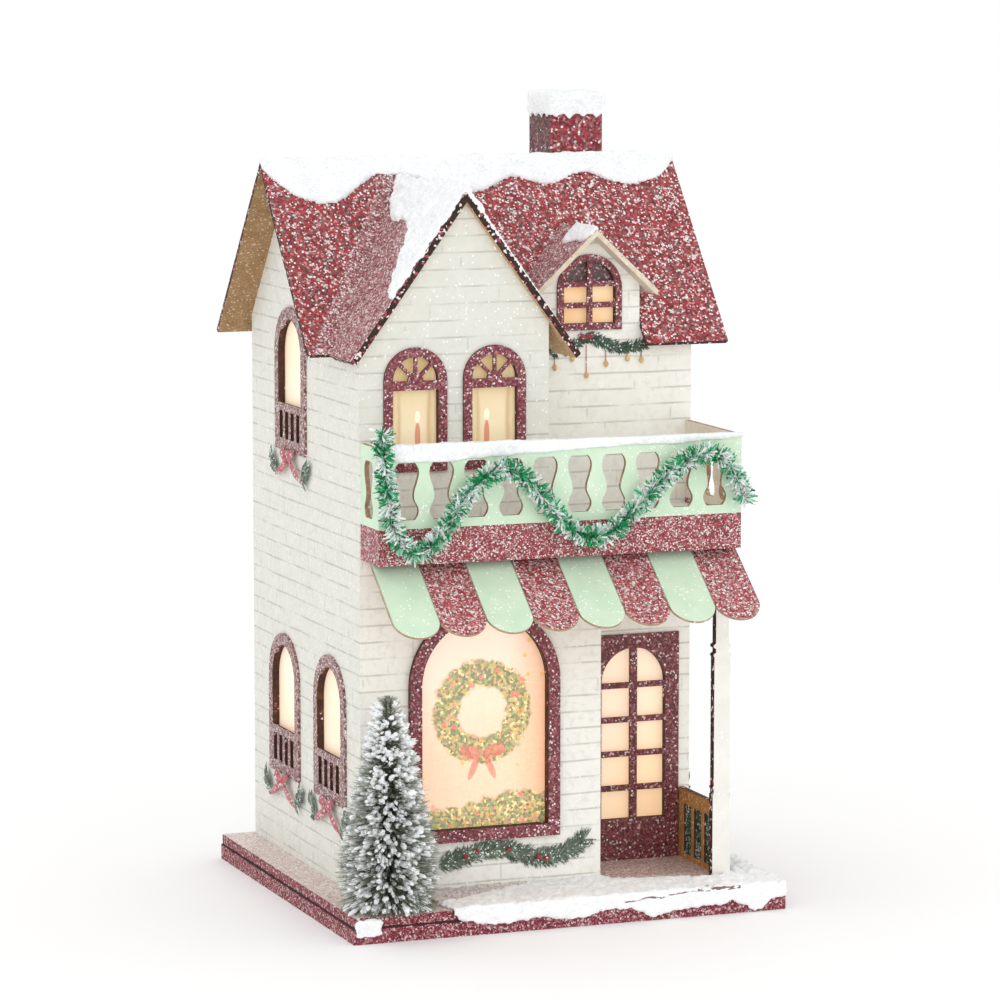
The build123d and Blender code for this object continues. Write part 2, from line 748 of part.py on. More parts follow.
# Porch: the turned post reaches the awning, and the side rail joins it to the wall
def porch_parts():
    post_face = balcony_front + post_inset
    outer_edge = half_balcony - post_edge_inset
    centre = outer_edge - post_width / 2
    half = post_width / 2
    slope_tan = math.tan(math.radians(awning_slope))
    thick = trim / math.cos(math.radians(awning_slope))
    top = floor_low - (bay_face - post_face) * slope_tan - thick
    length = top - deck_top
    shaft = half - post_shaft_neck
    neck = half - post_neck
    outline = span(centre - half, centre + half, deck_top, deck_top + post_block_height)
    outline += span(centre - shaft, centre + shaft, deck_top, deck_top + length * post_top_bead_shares[0])
    outline += span(centre - neck, centre + neck, deck_top, top)
    for rise_share in (post_foot_bead_share, *post_top_bead_shares):
        outline += Pos(centre, deck_top + length * rise_share) * Ellipse(half, post_bead_height / 2)
    rail_face = outer_edge - 2 * board
    front = post_face + post_thickness
    rail = span(front, door_face, deck_top, deck_top + porch_rail_height)
    slots = int((door_face - front) // porch_slot_pitch)
    first = (front + door_face - (slots - 1) * porch_slot_pitch) / 2
    for index in range(slots):
        slot = span(-porch_slot_width / 2, porch_slot_width / 2, 0, porch_slot_height)
        rail -= Pos(first + index * porch_slot_pitch, deck_top + porch_slot_sill) * slot
    backing = span(front, door_face, deck_top, deck_top + porch_rail_height)
    return {
        "porch_post": front_board(outline, post_face, post_thickness),
        "porch_rail": side_board(rail, rail_face, porch_overlay),
        "porch_rail_backing": side_board(backing, rail_face + porch_overlay),
    }


# Snow: a paste layer on each ridge, on the front railing and on the deck
def wavy_face(edge, back):
    # A face between two smooth edges that run in opposite directions.
    lines = [Spline(*edge), Line(edge[-1], back[0]), Spline(*back), Line(back[-1], edge[0])]
    return make_face(lines)


def ridge_band(edge_shares, edge_reach, back_shares, back_reach, along):
    # A band about a ridge on the local X axis: shares run from -1 to 1 of half its length.
    edge = [(along * place / 2, -edge_reach * depth) for place, depth in edge_shares]
    back = [(along * place / 2, back_reach * depth) for place, depth in reversed(back_shares)]
    return wavy_face(edge, back)


def snow_on_ridge(ridge, outward, along, pitch, band):
    reach = max(ridge_snow_reach, gable_snow_reach)
    lower, upper = roof_pair(ridge, outward, reach, pitch, along, snow)
    column = extrude(Plane.XY.offset(plate) * band, ridge_top + snow * 2 - plate)
    return (lower + upper) & column


def roof_snow_parts(roofs):
    length = house_width + 2 * verge
    band = ridge_band(ridge_snow_shares, ridge_snow_reach, back_snow_shares, back_snow_reach, length)
    ridge = snow_on_ridge(Vector(-length / 2, ridge_y, ridge_top), Vector(0, 1, 0), Vector(length, 0, 0),
                          main_pitch, Pos(0, ridge_y) * band)
    ridge -= roofs["gable_roof_left"]
    ridge -= roofs["gable_roof_right"]
    ridge -= block(*chimney_outline(), plate, chimney_top)
    gable_top = gable_under + gable_board / math.cos(math.radians(gable_pitch))
    gable_end = ridge_y - (ridge_top - gable_top) / main_tan
    gable_length = gable_end - gable_front
    gable_band = ridge_band(gable_snow_shares, gable_snow_reach, gable_back_snow_shares,
                            gable_back_snow_reach, gable_length)
    turned = Pos(gable_centre, (gable_front + gable_end) / 2) * Rot(0, 0, -90) * gable_band
    gable = snow_on_ridge(Vector(gable_centre, gable_front, gable_top), Vector(1, 0, 0),
                          Vector(0, gable_length, 0), gable_pitch, turned) - under_main - ridge
    dormer_top = dormer_under + board / math.cos(math.radians(dormer_pitch))
    dormer_band = ridge_band(dormer_snow_shares, dormer_snow_reach, dormer_snow_shares,
                             dormer_back_snow_reach, dormer_snow_length)
    turned = Pos(dormer_centre, dormer_front + dormer_snow_length / 2) * Rot(0, 0, -90) * dormer_band
    dormer = snow_on_ridge(Vector(dormer_centre, dormer_front, dormer_top), Vector(1, 0, 0),
                           Vector(0, dormer_snow_length, 0), dormer_pitch, turned) - under_main
    return {"ridge_snow": ridge, "gable_snow": gable, "dormer_snow": dormer}


def rail_snow_part(balcony):
    top = fascia_top + rail_height
    half = half_balcony + rail_snow_skin
    edge = [(half * place, top - rail_snow_reach * depth) for place, depth in rail_snow_shares]
    back = [(half, top + rail_snow_rise), (-half, top + rail_snow_rise)]
    sketch = make_face([Spline(*edge), Line(edge[-1], back[0]), Line(*back), Line(back[1], edge[0])])
    cover = front_board(sketch, balcony_front - rail_snow_skin, board + 2 * rail_snow_skin)
    for rail in ("rail_front", "rail_left", "rail_right"):
        cover -= balcony[rail]
    return {"rail_snow": max(cover.solids(), key=lambda solid: solid.volume)}


def deck_snow_part():
    front = -base_depth / 2
    side = base_width / 2
    wall = bay_face - soft_gap
    porch_line = bay_face - deck_snow_porch_line
    right_line = front + deck_snow_right_line
    drift = deck_snow_porch_line
    left_edge = Spline((deck_snow_start, front), (deck_snow_start - drift / 4, front + drift),
                       (deck_snow_start + drift / 2, wall))
    wall_edge = Line((deck_snow_start + drift / 2, wall), (bay_lower_edge, wall))
    porch_edge = Spline((bay_lower_edge, wall), (bay_lower_edge + drift, porch_line),
                        (door_centre, porch_line - drift / 4), (side - drift * 2, porch_line - drift / 2),
                        (half_balcony, porch_line), (half_balcony + drift / 4, right_line))
    closing = Polyline((half_balcony + drift / 4, right_line), (side, right_line), (side, front),
                       (deck_snow_start, front))
    layer = plan_board(make_face([left_edge, wall_edge, porch_edge, closing]), deck_top, snow)
    width = side - deck_snow_start
    lip = deck_top + snow
    edge = [(deck_snow_start + width * place, deck_top - deck_snow_drip * depth)
            for place, depth in deck_drip_shares]
    skin = make_face([Spline(*edge), Line(edge[-1], (side, lip)), Line((side, lip), (deck_snow_start, lip)),
                      Line((deck_snow_start, lip), edge[0])])
    drifted = layer + front_board(skin, front - snow, snow)
    post_face = balcony_front + post_inset
    keep_out = block(half_balcony - post_edge_inset - post_width - soft_gap, half_balcony + soft_gap,
                     post_face - soft_gap, door_face, deck_top, lip)
    return {"deck_snow": drifted - keep_out}


# Paper trims, cut to outline: a bow with sprigs, and two garlands
def leaf(length, height):
    # A pointed leaf from the origin along +X.
    upper = ThreePointArc((0, 0), (length / 2, height / 2), (length, 0))
    lower = ThreePointArc((length, 0), (length / 2, -height / 2), (0, 0))
    return make_face([upper, lower])


def swag_sketch():
    half = (Rot(0, 0, swag_loop_turn) * leaf(swag_loop_length, swag_loop_height)
            + Rot(0, 0, swag_tail_turn) * leaf(swag_tail_length, swag_tail_height)
            + Rot(0, 0, swag_sprig_turn) * leaf(swag_width / 2, swag_sprig_height))
    return Circle(swag_knot_radius) + half + mirror(half, Plane.YZ)


def window_garland_sketch():
    centre_line = []
    for step in range(garland_steps + 1):
        share = step / garland_steps
        wave = math.cos(math.pi * garland_half_waves * (share - garland_peak_share))
        centre_line.append((window_garland_width * (share - 0.5), window_garland_wave * wave))
    half = window_garland_band / 2
    lower = [(across, level - half) for across, level in centre_line]
    upper = [(across, level + half) for across, level in reversed(centre_line)]
    return wavy_face(lower, upper)


def dormer_garland_sketch():
    half = dormer_garland_band / 2
    reach = dormer_width / 2 + dormer_eave_overhang
    line = [(reach * place, -dormer_garland_drop * depth) for place, depth in dormer_garland_shares]
    lower = [(across, level - half) for across, level in line]
    upper = [(across, level + half) for across, level in reversed(line)]
    garland = wavy_face(lower, upper)
    for place_share, length in zip(dormer_string_shares, dormer_string_lengths):
        across = reach * place_share
        foot = -dormer_garland_drop - length
        garland += span(across - dormer_string_width / 2, across + dormer_string_width / 2, foot, 0)
        garland += Pos(across, foot) * RegularPolygon(dormer_drop_radius, dormer_drop_sides)
    return garland


def sticker_parts():
    # The swags are glued to the feet of the window frames.
    proud = half_house + trim
    sides = ((left_window_places(), -proud - sticker), (right_window_places(), proud))
    made = {"side_window_swags": Compound([
        side_board(on_wall(swag_sketch(), across, sill - swag_drop), face, sticker)
        for places, face in sides for across, sill in places])}
    made["window_garland"] = front_board(
        on_wall(window_garland_sketch(), window_garland_centre, big_window_sill - window_garland_drop),
        bay_face - sticker, sticker)
    dormer_level = dormer_window_sill - dormer_garland_band / 2 - sticker
    made["dormer_garland"] = front_board(on_wall(dormer_garland_sketch(), dormer_centre, dormer_level),
                                         door_face - sticker, sticker)
    return made


# Tinsel: one tube along straight runs and tangent arcs, in front of the railing
def tinsel_part():
    depth = balcony_front - rail_snow_skin - soft_gap - tinsel_diameter / 2
    points = [Vector(across, depth, deck_top + level) for across, level in tinsel_route]
    radii = []
    for before, here, after in zip(points, points[1:], points[2:]):
        arriving = here - before
        leaving = after - here
        half_turn = math.radians(arriving.get_angle(leaving)) / 2
        radii.append(arc_share * min(arriving.length, leaving.length) / math.tan(half_turn))
    path = FilletPolyline(*points, radius=radii)
    section = Plane(origin=path @ 0, z_dir=path % 0) * RegularPolygon(tinsel_diameter / 2, tinsel_sides)
    tube = sweep(section, path=path)
    print("tinsel radii", [round(radius, 1) for radius in radii])
    print("tinsel volume over section times length", round(tube.volume / section.area / path.length, 4))
    return {"tinsel_garland": tube}


# Bottle brush tree: bristles on a golden-angle spiral, fused to a sleeve round the wire
def tree_parts():
    foot = deck_top + tree_foot
    top = deck_top + tree_height
    wire = plan_board(Pos(tree_x, tree_y) * Circle(wire_radius), slab_thickness, top - slab_thickness)
    bore = wire_radius + pin_clearance
    sleeve_radius = bore + sleeve_wall
    ring = RegularPolygon(sleeve_radius, sleeve_sides) - Circle(bore)
    sleeve = plan_board(Pos(tree_x, tree_y) * ring, foot, top - foot)
    golden_turn = 180 * (3 - math.sqrt(5))
    usable = top - foot - 2 * sleeve_radius
    root = (bore + sleeve_radius) / 2
    bristles = []
    for index in range(bristle_count):
        share = index / (bristle_count - 1)
        taper = (1 - share) / (1 - tree_skirt_share)
        skirt = tree_skirt_radius_share + (1 - tree_skirt_radius_share) * share / tree_skirt_share
        reach = tree_tip_radius + (tree_radius - tree_tip_radius) * min(taper, skirt)
        turn = math.radians(index * golden_turn)
        lift = math.radians(bristle_lift)
        outward = Vector(math.cos(turn) * math.cos(lift), math.sin(turn) * math.cos(lift), math.sin(lift))
        level = foot + sleeve_radius + usable * share
        start = Vector(tree_x, tree_y, level) + outward * root
        section = Plane(origin=start, z_dir=outward) * RegularPolygon(bristle_radius, bristle_sides)
        bristles.append(extrude(section, (reach - root) / math.cos(lift)))
    brush = sleeve.fuse(*bristles)
    return {"tree_wire": wire, "tree_brush": brush}


# Battery box, hinged hatch, cells and their contacts
def battery_parts():
    half_length = bed_length / 2
    half_width = bed_width / 2
    shell = rectangle_at(0, box_centre_y, box_length, box_width)
    bed = rectangle_at(0, box_centre_y, bed_length, bed_width)
    rim = rectangle_at(0, box_centre_y, box_length + 2 * box_flange, box_width + 2 * box_flange)
    box = plan_board(rim, door_recess, box_wall) + plan_board(shell, door_recess, box_top - door_recess)
    box -= plan_board(bed, door_recess - overrun, box_ceiling - door_recess + overrun)
    pin_plane = Plane.XZ.offset(-box_centre_y)
    bore = Pos(hinge_x, hinge_z) * Circle(pin_radius + pin_clearance)
    box -= extrude(pin_plane * bore, half_width + box_wall, both=True)

    hatch_half = half_width - hatch_gap
    hatch = block(hinge_x, half_length - hatch_gap, box_centre_y - hatch_half, box_centre_y + hatch_half,
                  door_recess, door_recess + hatch_thickness)
    hinge = pin_plane * Pos(hinge_x, hinge_z)
    hatch += extrude(hinge * Circle(barrel_radius), hatch_half, both=True)
    hatch += extrude(hinge * Circle(pin_radius), half_width + box_wall, both=True)
    thumb = Pos(half_length - hatch_gap, box_centre_y) * Circle(thumb_radius)
    hatch -= plan_board(thumb, door_recess - overrun, hatch_thickness / 2 + overrun)

    cells = []
    contacts = []
    pitch = cell_diameter + cell_gap
    for index in range(cell_count):
        way = 1 if index % 2 else -1
        across = box_centre_y + (index - (cell_count - 1) / 2) * pitch
        start = Vector(-way * cell_length / 2, across, cell_axis)
        plane = Plane(origin=start, z_dir=Vector(way, 0, 0))
        body = extrude(plane * Circle(cell_diameter / 2), cell_length - cell_nub_length)
        cells.append(body + extrude(plane * Circle(cell_nub_radius), cell_length))
        for end in (-1, 1):
            contacts.append(leaf_contact(end, across))
    return {"battery_box": box, "battery_door": hatch, "battery_cells": Compound(cells),
            "contact_leaves": Compound(contacts)}


def leaf_contact(end, across):
    # A strip folded in a V: one leg on the box's end wall, the other on the cell's end.
    low = cell_axis - cell_nub_radius
    high = cell_axis + cell_diameter / 2
    wall = bed_length / 2
    cell = cell_length / 2
    inside = wall - contact_strip
    strip = Polygon((wall, low), (wall, high), (inside, high), (cell, low + contact_strip * 2), (cell, low),
                    (cell + contact_strip, low), (inside, high - contact_strip * 3), (inside, low),
                    align=None)
    contact = front_board(strip, across - contact_width / 2, contact_width)
    return contact if end > 0 else mirror(contact, Plane.YZ)


# Slide switch and lamp
def lamp_parts():
    body = block(switch_offset - switch_width / 2, switch_offset + switch_width / 2,
                 box_centre_y - switch_length / 2, box_centre_y + switch_length / 2,
                 door_recess, door_recess + switch_height)
    shoe_width = slot_width + 2 * slider_shoe_margin
    shoe_length = slider_length + 2 * slider_shoe_margin
    room_length = shoe_length + slider_travel + 2 * slide_gap
    room_low = door_recess + box_wall
    room_high = room_low + slider_shoe_thickness + 2 * slide_gap
    room = rectangle_at(switch_offset, box_centre_y, shoe_width + 2 * slide_gap, room_length)
    slot_length = slider_length + slider_travel + 2 * slide_gap
    slot = rectangle_at(switch_offset, box_centre_y, slot_width, slot_length)
    body -= plan_board(room, room_low, room_high - room_low)
    body -= plan_board(slot, door_recess - overrun, box_wall + 2 * overrun)
    start = box_centre_y - slider_travel / 2
    shoe = rectangle_at(switch_offset, start, shoe_width, shoe_length)
    knob = rectangle_at(switch_offset, start, slot_width - 2 * slide_gap, slider_length)
    slider = plan_board(shoe, room_low + slide_gap, slider_shoe_thickness)
    slider += plan_board(knob, knob_recess, room_low + slide_gap + slider_shoe_thickness - knob_recess)
    place = Pos(0, box_centre_y)
    holder = plan_board(place * Circle(lamp_holder_radius), box_top, lamp_holder_height)
    level = box_top + lamp_holder_height
    straight = lamp_height - lamp_taper
    lamp = plan_board(place * Circle(lamp_radius), level, straight)
    lamp += loft([Plane.XY.offset(level + straight) * place * Circle(lamp_radius),
                  Plane.XY.offset(level + lamp_height) * place * Circle(lamp_tip_radius)])
    return {"switch_body": body, "switch_slider": slider, "lamp_holder": holder, "led_lamp": lamp}


roofs = roof_parts()
balcony = balcony_parts()
parts = {
    **base_parts(),
    **wall_parts(roofs),
    **roofs,
    **chimney_parts(),
    **balcony,
    **awning_part(balcony),
    **porch_parts(),
    **window_parts(),
    **roof_snow_parts(roofs),
    **rail_snow_part(balcony),
    **deck_snow_part(),
    **sticker_parts(),
    **tinsel_part(),
    **tree_parts(),
    **battery_parts(),
    **lamp_parts(),
}

os.makedirs("parts", exist_ok=True)
for name, shape in parts.items():
    export_step(shape, f"parts/{name}.step")
print(len(parts), "nodes")
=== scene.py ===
import math
import random

import bmesh
import bpy
from mathutils import Matrix, Vector, noise


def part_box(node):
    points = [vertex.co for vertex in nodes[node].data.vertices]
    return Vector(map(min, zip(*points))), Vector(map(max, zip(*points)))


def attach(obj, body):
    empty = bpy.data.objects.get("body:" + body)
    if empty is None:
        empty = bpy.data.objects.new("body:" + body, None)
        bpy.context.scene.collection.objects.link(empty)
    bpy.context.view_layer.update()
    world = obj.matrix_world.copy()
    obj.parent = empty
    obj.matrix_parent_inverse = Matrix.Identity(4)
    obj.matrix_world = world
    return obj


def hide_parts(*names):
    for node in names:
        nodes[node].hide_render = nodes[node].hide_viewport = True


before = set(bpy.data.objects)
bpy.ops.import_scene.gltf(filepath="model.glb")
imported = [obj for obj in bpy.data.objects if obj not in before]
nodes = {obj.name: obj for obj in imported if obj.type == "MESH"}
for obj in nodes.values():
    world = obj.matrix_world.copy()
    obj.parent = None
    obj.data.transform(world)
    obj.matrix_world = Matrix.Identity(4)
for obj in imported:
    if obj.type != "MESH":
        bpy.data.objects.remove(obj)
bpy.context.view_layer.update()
mm = 0.001
print("frame loaded with", len(nodes), "nodes")


# node maths: a wrapped socket, so that masks and mixes read as plain sums
def feed(socket, value):
    if isinstance(value, Wire):
        socket.id_data.links.new(value.socket, socket)
    else:
        socket.default_value = value


def linear(code):
    shares = [int(code[at:at + 2], 16) / 255 for at in (0, 2, 4)]
    return tuple(s / 12.92 if s <= 0.04045 else ((s + 0.055) / 1.055) ** 2.4 for s in shares) + (1.0,)


def operator(name):
    return lambda self, other=0.0: self.math(name, other)


class Wire:
    def __init__(self, socket):
        self.socket = socket

    def node(self, kind, settings={}, inputs={}, out=0):
        made = self.socket.id_data.nodes.new("ShaderNode" + kind)
        for key, value in settings.items():
            if key == "stops":
                ramp = made.color_ramp.elements
                ramp[0].position, ramp[0].color = value[0]
                ramp[1].position, ramp[1].color = value[-1]
                for position, colour in value[1:-1]:
                    ramp.new(position).color = colour
            elif key == "steps":
                made.color_ramp.interpolation = value
            else:
                setattr(made, key, value)
        for key, value in inputs.items():
            feed(made.inputs[key], value)
        return Wire(made.outputs[out])

    def math(self, operation, other=0.0):
        return self.node("Math", {"operation": operation}, {0: self, 1: other})

    def vector(self, operation, other=(0.0, 0.0, 0.0), key=1, out=0):
        return self.node("VectorMath", {"operation": operation}, {0: self, key: other}, out)

    def __rsub__(self, other):
        return self.node("Math", {"operation": "SUBTRACT"}, {0: other, 1: self})

    __add__ = __radd__ = operator("ADD")
    __sub__ = operator("SUBTRACT")
    __mul__ = __rmul__ = operator("MULTIPLY")
    __truediv__ = operator("DIVIDE")
    __gt__ = operator("GREATER_THAN")
    __lt__ = operator("LESS_THAN")
    __or__ = operator("MAXIMUM")
    __abs__ = operator("ABSOLUTE")

    def rise(self, low, high):
        # 0 below low, 1 above high, smooth between
        return self.node("MapRange", {"interpolation_type": "SMOOTHSTEP"},
                         {"Value": self, "From Min": low, "From Max": high})

    def blend(self, low, high):
        ends = [linear(end) if isinstance(end, str) else end for end in (low, high)]
        return self.node("Mix", {"data_type": "RGBA"}, {0: self, 6: ends[0], 7: ends[1]}, 2)

    def ramp(self, *stops, steps="LINEAR"):
        colours = [(position, linear(code)) for position, code in stops]
        return self.node("ValToRGB", {"stops": colours, "steps": steps}, {"Fac": self})

    def tones(self, low, high):
        return self.ramp((0.3, low), (0.7, high))

    def parts(self):
        first = self.node("SeparateXYZ", {}, {0: self}).socket.node
        return [Wire(socket) for socket in first.outputs]

    def cloud(self, size, detail=2.0):
        # sizes of patterns are in mm
        return self.node("TexNoise", {}, {"Vector": self, "Scale": 1 / (size * mm), "Detail": detail}, "Fac")

    def flakes(self, size):
        return self.node("TexVoronoi", {}, {"Vector": self, "Scale": 1 / (size * mm)}, "Color")

    def specks(self, size):
        # how far off each flake's middle is, and its three random values
        cells = self.flakes(size)
        return [Wire(cells.socket.node.outputs["Distance"]), *cells.parts()]

    def stretched(self, *shares):
        return self.vector("MULTIPLY", shares)


def startMaterial(name):
    material = bpy.data.materials.new(name)
    material.use_nodes = True
    coords = material.node_tree.nodes.new("ShaderNodeTexCoord")
    return material, Wire(coords.outputs["Object"])


def shaded(material, values):
    shader = material.node_tree.nodes["Principled BSDF"]
    for key, value in values.items():
        feed(shader.inputs[key], value)
    return material


def bumped(place, height, strength, depth):
    return place.node("Bump", {}, {"Strength": strength, "Distance": depth, "Height": height})


# finishes: each gives a colour, a roughness, a height and how its flakes lean
def glitterFinish(place, look):
    cells = place.flakes(look["fleck"])
    pick, shade, spin = cells.parts()
    tint = pick.ramp(*look["tints"].items(), steps="CONSTANT")
    tint = (shade * look["depth"]).blend(tint, look["deep"])
    drift = place.cloud(24, 3.0).rise(0.4, 0.75) * look["drift"]
    near, chosen, size = place.specks(look["fleck"] * look["dot"])[:3]
    dot = 1 - (near * (0.65 + size * 0.9)).rise(0.22, 0.4)
    frost = (chosen > 1 - look["frost"] - drift) * dot
    return {"colour": frost.blend(tint, look["white"]), "rough": spin * 0.35 + 0.3,
            "height": pick * 0.5 + frost * 0.5, "leanBy": look["lean"],
            "lean": cells.vector("SUBTRACT", (0.5, 0.5, 0.5))}


def brickFinish(place, look):
    x, y, z = place.parts()
    row = (z + (place.cloud(30) - 0.5) * look["wander"]) / look["row"]
    along = (x + y) / look["brick"] + row.math("FLOOR") * look["shift"]
    bed = row.math("PINGPONG", 0.5) * look["row"]
    joint = along.math("PINGPONG", 0.5) * look["brick"]
    broken = place.stretched(0.3, 0.3, 1.0).cloud(4, 4.0)
    bedLine = (1 - bed.rise(0.02 * mm, look["line"])) * broken.rise(0.3, 0.62)
    jointLine = (1 - joint.rise(0.05 * mm, look["line"])) * place.cloud(6).rise(0.5, 0.62)
    mortar = bedLine * look["bed"] | jointLine * look["joint"]
    paper = place.cloud(7, 5.0).tones(*look["paper"])
    paper = place.cloud(0.8, 3.0).rise(0.3, 0.75).blend(paper, look["mottle"])
    # painted light: lighter paper low on the wall, where the awning and the railing shade it
    if "lowPaper" in look:
        paper = z.rise(*look["lowTo"]).blend(look["lowPaper"], paper)
    paper = (place.cloud(2.6, 5.0).rise(0.45, 0.8) * 0.5).blend(paper, look["stain"])
    paper = mortar.blend(paper, look["mortar"])
    near, pick, shade = place.specks(look["fleck"])[:3]
    spark = (pick > 1 - look["sparkle"]) * (1 - near.rise(0.12, 0.5)) * (shade * 0.6 + 0.2)
    return {"colour": spark.blend(paper, "FFFFFF"), "rough": 0.75 - spark * 0.45, "height": spark * 1.5 - mortar}


def mintFinish(place, look):
    tint = place.cloud(9, 4.0).tones(*look["tones"])
    near, pick = place.specks(1.1)[:2]
    patchy = place.cloud(8, 3.0).rise(0.35, 0.7) * (look["sparkle"] * 2)
    spark = (pick > 1 - patchy) * (1 - near.rise(0.15, 0.5))
    tint = spark.blend(tint, (1.0, 1.0, 0.98, 1.0))
    return {"colour": tint, "rough": 0.6 - spark * 0.3, "height": place.cloud(0.6) + spark}


def seamShadowFinish(place, look):
    # painted shadow: a dark, broken line where the slab and the deck meet
    skin = glitterFinish(place, look)
    width = place.cloud(4, 4.0) * look["seamWidth"] - look["seamBreak"]
    line = abs(place.parts()[2] / mm - look["seam"]) < width
    return {**skin, "colour": line.blend(skin["colour"], look["gap"])}


def deckFinish(place, look):
    # redder under the porch, behind its corner, than in the open
    x, y = place.parts()[:2]
    skin, porch = [glitterFinish(place, look[key]) for key in ("open", "porch")]
    under = (x > look["corner"][0] * mm) * (y > look["corner"][1] * mm)
    return {**skin, "colour": under.blend(skin["colour"], porch["colour"])}


def rawFinish(place, look):
    grain = place.cloud(0.7, 4.0)
    tint = (grain * 0.6 + place.cloud(6, 3.0) * 0.4).ramp(*zip((0.3, 0.5, 0.72), look["tones"]))
    pick = place.specks(0.55)[1]
    tint = (pick > 1 - look["fleck"]).blend(tint, look["pale"])
    return {"colour": tint, "rough": 0.85, "height": grain}


def burntFinish(place, look):
    char = place.cloud(2.6, 4.0)
    tint = char.ramp(*zip((0.35, 0.6, 0.78), look["burn"]))
    pick, shade = place.flakes(0.9).parts()[:2]
    flecks = shade.ramp(*zip((0.0, 0.5), look["flecks"]), steps="CONSTANT")
    return {"colour": (pick > 1 - look["fleck"]).blend(tint, flecks), "rough": 0.8, "height": char}


def revealFinish(place, look):
    # the board's ends keep its skin, and its openings are burnt
    skin, char = [finish(place, its) for finish, its in (look["skin"], look["burnt"])]
    inside = look["inside"](place)
    return {"colour": inside.blend(skin["colour"], char["colour"]), "rough": 0.8, "height": char["height"]}


def between(low, high):
    return lambda place: (place.parts()[0] > low * mm) * (place.parts()[0] < high * mm)


def sideOpenings(windows):
    def inside(place):
        y, z = place.parts()[1:]
        found = 0
        for middle, sill in windows:
            level = z / mm - sill
            found = found + ((abs(y / mm - middle) < sideSpec["half"])
        * (level > sideSpec["foot"]) * (level < sideSpec["head"]))
        return found

    return inside


boardSpec = dict(bump=0.25, depth=0.4 * mm, facing=0.7, rimRough=0.85)


def boardSkin(place, made, height, share=1.0):
    # the bump, with the flakes' lean where there is one
    skin = bumped(place, height, boardSpec["bump"], boardSpec["depth"])
    if "lean" in made:
        tilt = made["lean"].vector("SCALE", share * made["leanBy"], "Scale")
        skin = skin.vector("ADD", tilt).vector("NORMALIZE")
    return skin


def boardMaterial(name, out, face, back, rim):
    # face, back and rim are (finish, look): the board's normal tells them apart
    material, place = startMaterial(name)
    normal = Wire(place.socket.node.outputs["Normal"])
    facing = normal.vector("DOT_PRODUCT", out, out="Value")
    onFace, onBack = facing > boardSpec["facing"], facing < -boardSpec["facing"]
    front, rear, edge = [finish(place, look) for finish, look in (face, back, rim)]
    colour = onFace.blend(onBack.blend(edge["colour"], rear["colour"]), front["colour"])
    height = onFace * front["height"] + (1 - onFace) * edge["height"]
    rough = onFace * front["rough"] + (1 - onFace) * boardSpec["rimRough"]
    return shaded(material, {"Base Color": colour, "Roughness": rough,
        "Normal": boardSkin(place, front, height, onFace)})


def wholeMaterial(name, finish, look):
    # every face has the same finish
    material, place = startMaterial(name)
    made = finish(place, look)
    return shaded(material, {"Base Color": made["colour"], "Roughness": made["rough"],
        "Normal": boardSkin(place, made, made["height"])})


def dress(material, *names):
    for name in names:
        for slot in nodes[name].material_slots:
            slot.material = material


ways = {"front": (0, -1, 0), "back": (0, 1, 0), "left": (-1, 0, 0), "right": (1, 0, 0), "up": (0, 0, 1)}


def cover(name, way, face, back, rim, *members):
    dress(boardMaterial(name, ways.get(way, way), face, back, rim), *members)


# looks of the boards
crimsonLook = dict(
    fleck=0.85, tints={0.0: "A0262F", 0.26: "BC3F45", 0.4: "6A1F26", 0.56: "A84A4C", 0.68: "CF908E",
    0.79: "7E6A67", 0.9: "F0E2E0"}, deep="42161C", depth=0.42, dot=1.2, frost=0.27, drift=0.24, white="FFF8F6",
    lean=0.5)
# painted light: lighter, greyer glitter for the left-facing roof slopes than the crimson of the rest
litSlopeLook = dict(
    crimsonLook, fleck=0.68, tints={0.0: "9A4850", 0.24: "B8777A", 0.42: "7C3C42", 0.58: "CFA8A6",
    0.75: "9A8482", 0.87: "F0E4E2"}, deep="5A2A30", depth=0.32, frost=0.28, drift=0.3)
frameLook = dict(
    crimsonLook, fleck=0.65, tints={0.0: "7E2E3A", 0.28: "97424C", 0.5: "622632", 0.68: "B2757C",
    0.84: "84565C", 0.94: "E6D4D4"}, frost=0.14, drift=0.1)
awningRed = dict(
    frameLook, tints={0.0: "AE464E", 0.25: "C65E64", 0.42: "8C3A42", 0.55: "D9A2A0", 0.76: "AE807C",
    0.87: "F6EEEC"}, frost=0.32, drift=0.3)
fasciaLook = dict(
    awningRed, tints={0.0: "9C343E", 0.27: "B64A52", 0.46: "782A34", 0.62: "CE9292", 0.78: "966866",
    0.9: "F4EAE8"}, fleck=0.55, dot=1.35, frost=0.36)
sideFrameLook = dict(
    frameLook, tints={0.0: "8A5656", 0.28: "A47A76", 0.5: "684240", 0.68: "C4A8A2", 0.9: "EBE0DC"}, frost=0.24)
doorLook = dict(
    crimsonLook, fleck=0.65, tints={0.0: "743039", 0.3: "8C3E46", 0.55: "582830", 0.75: "A06864",
    0.92: "E0C8C6"}, deep="34181E", frost=0.06, drift=0.05)
flueLook = dict(
    crimsonLook, tints={0.0: "96303A", 0.25: "AC444C", 0.42: "6E2A32", 0.58: "A0626A", 0.72: "C0908E",
    0.84: "7C6664", 0.95: "F4E8E4"}, frost=0.1, drift=0.05)
# painted shade: the chimney's left face gets darker, redder glitter than its front
flueLeftPaintedShade = dict(
    flueLook, tints={0.0: "4E0C10", 0.3: "64181A", 0.5: "340A0E", 0.7: "702E2C", 0.92: "A85C58"}, frost=0.06,
    drift=0.02)
brickLook = dict(
    row=6.15 * mm, brick=17 * mm, line=0.6 * mm, shift=0.43, wander=0.9 * mm, paper=("E9E9E1", "DEDED5"),
    mottle="E2E2D9", stain="D2D0C5", mortar="A3A298", bed=0.6, joint=0.35, fleck=1.25, sparkle=0.2)
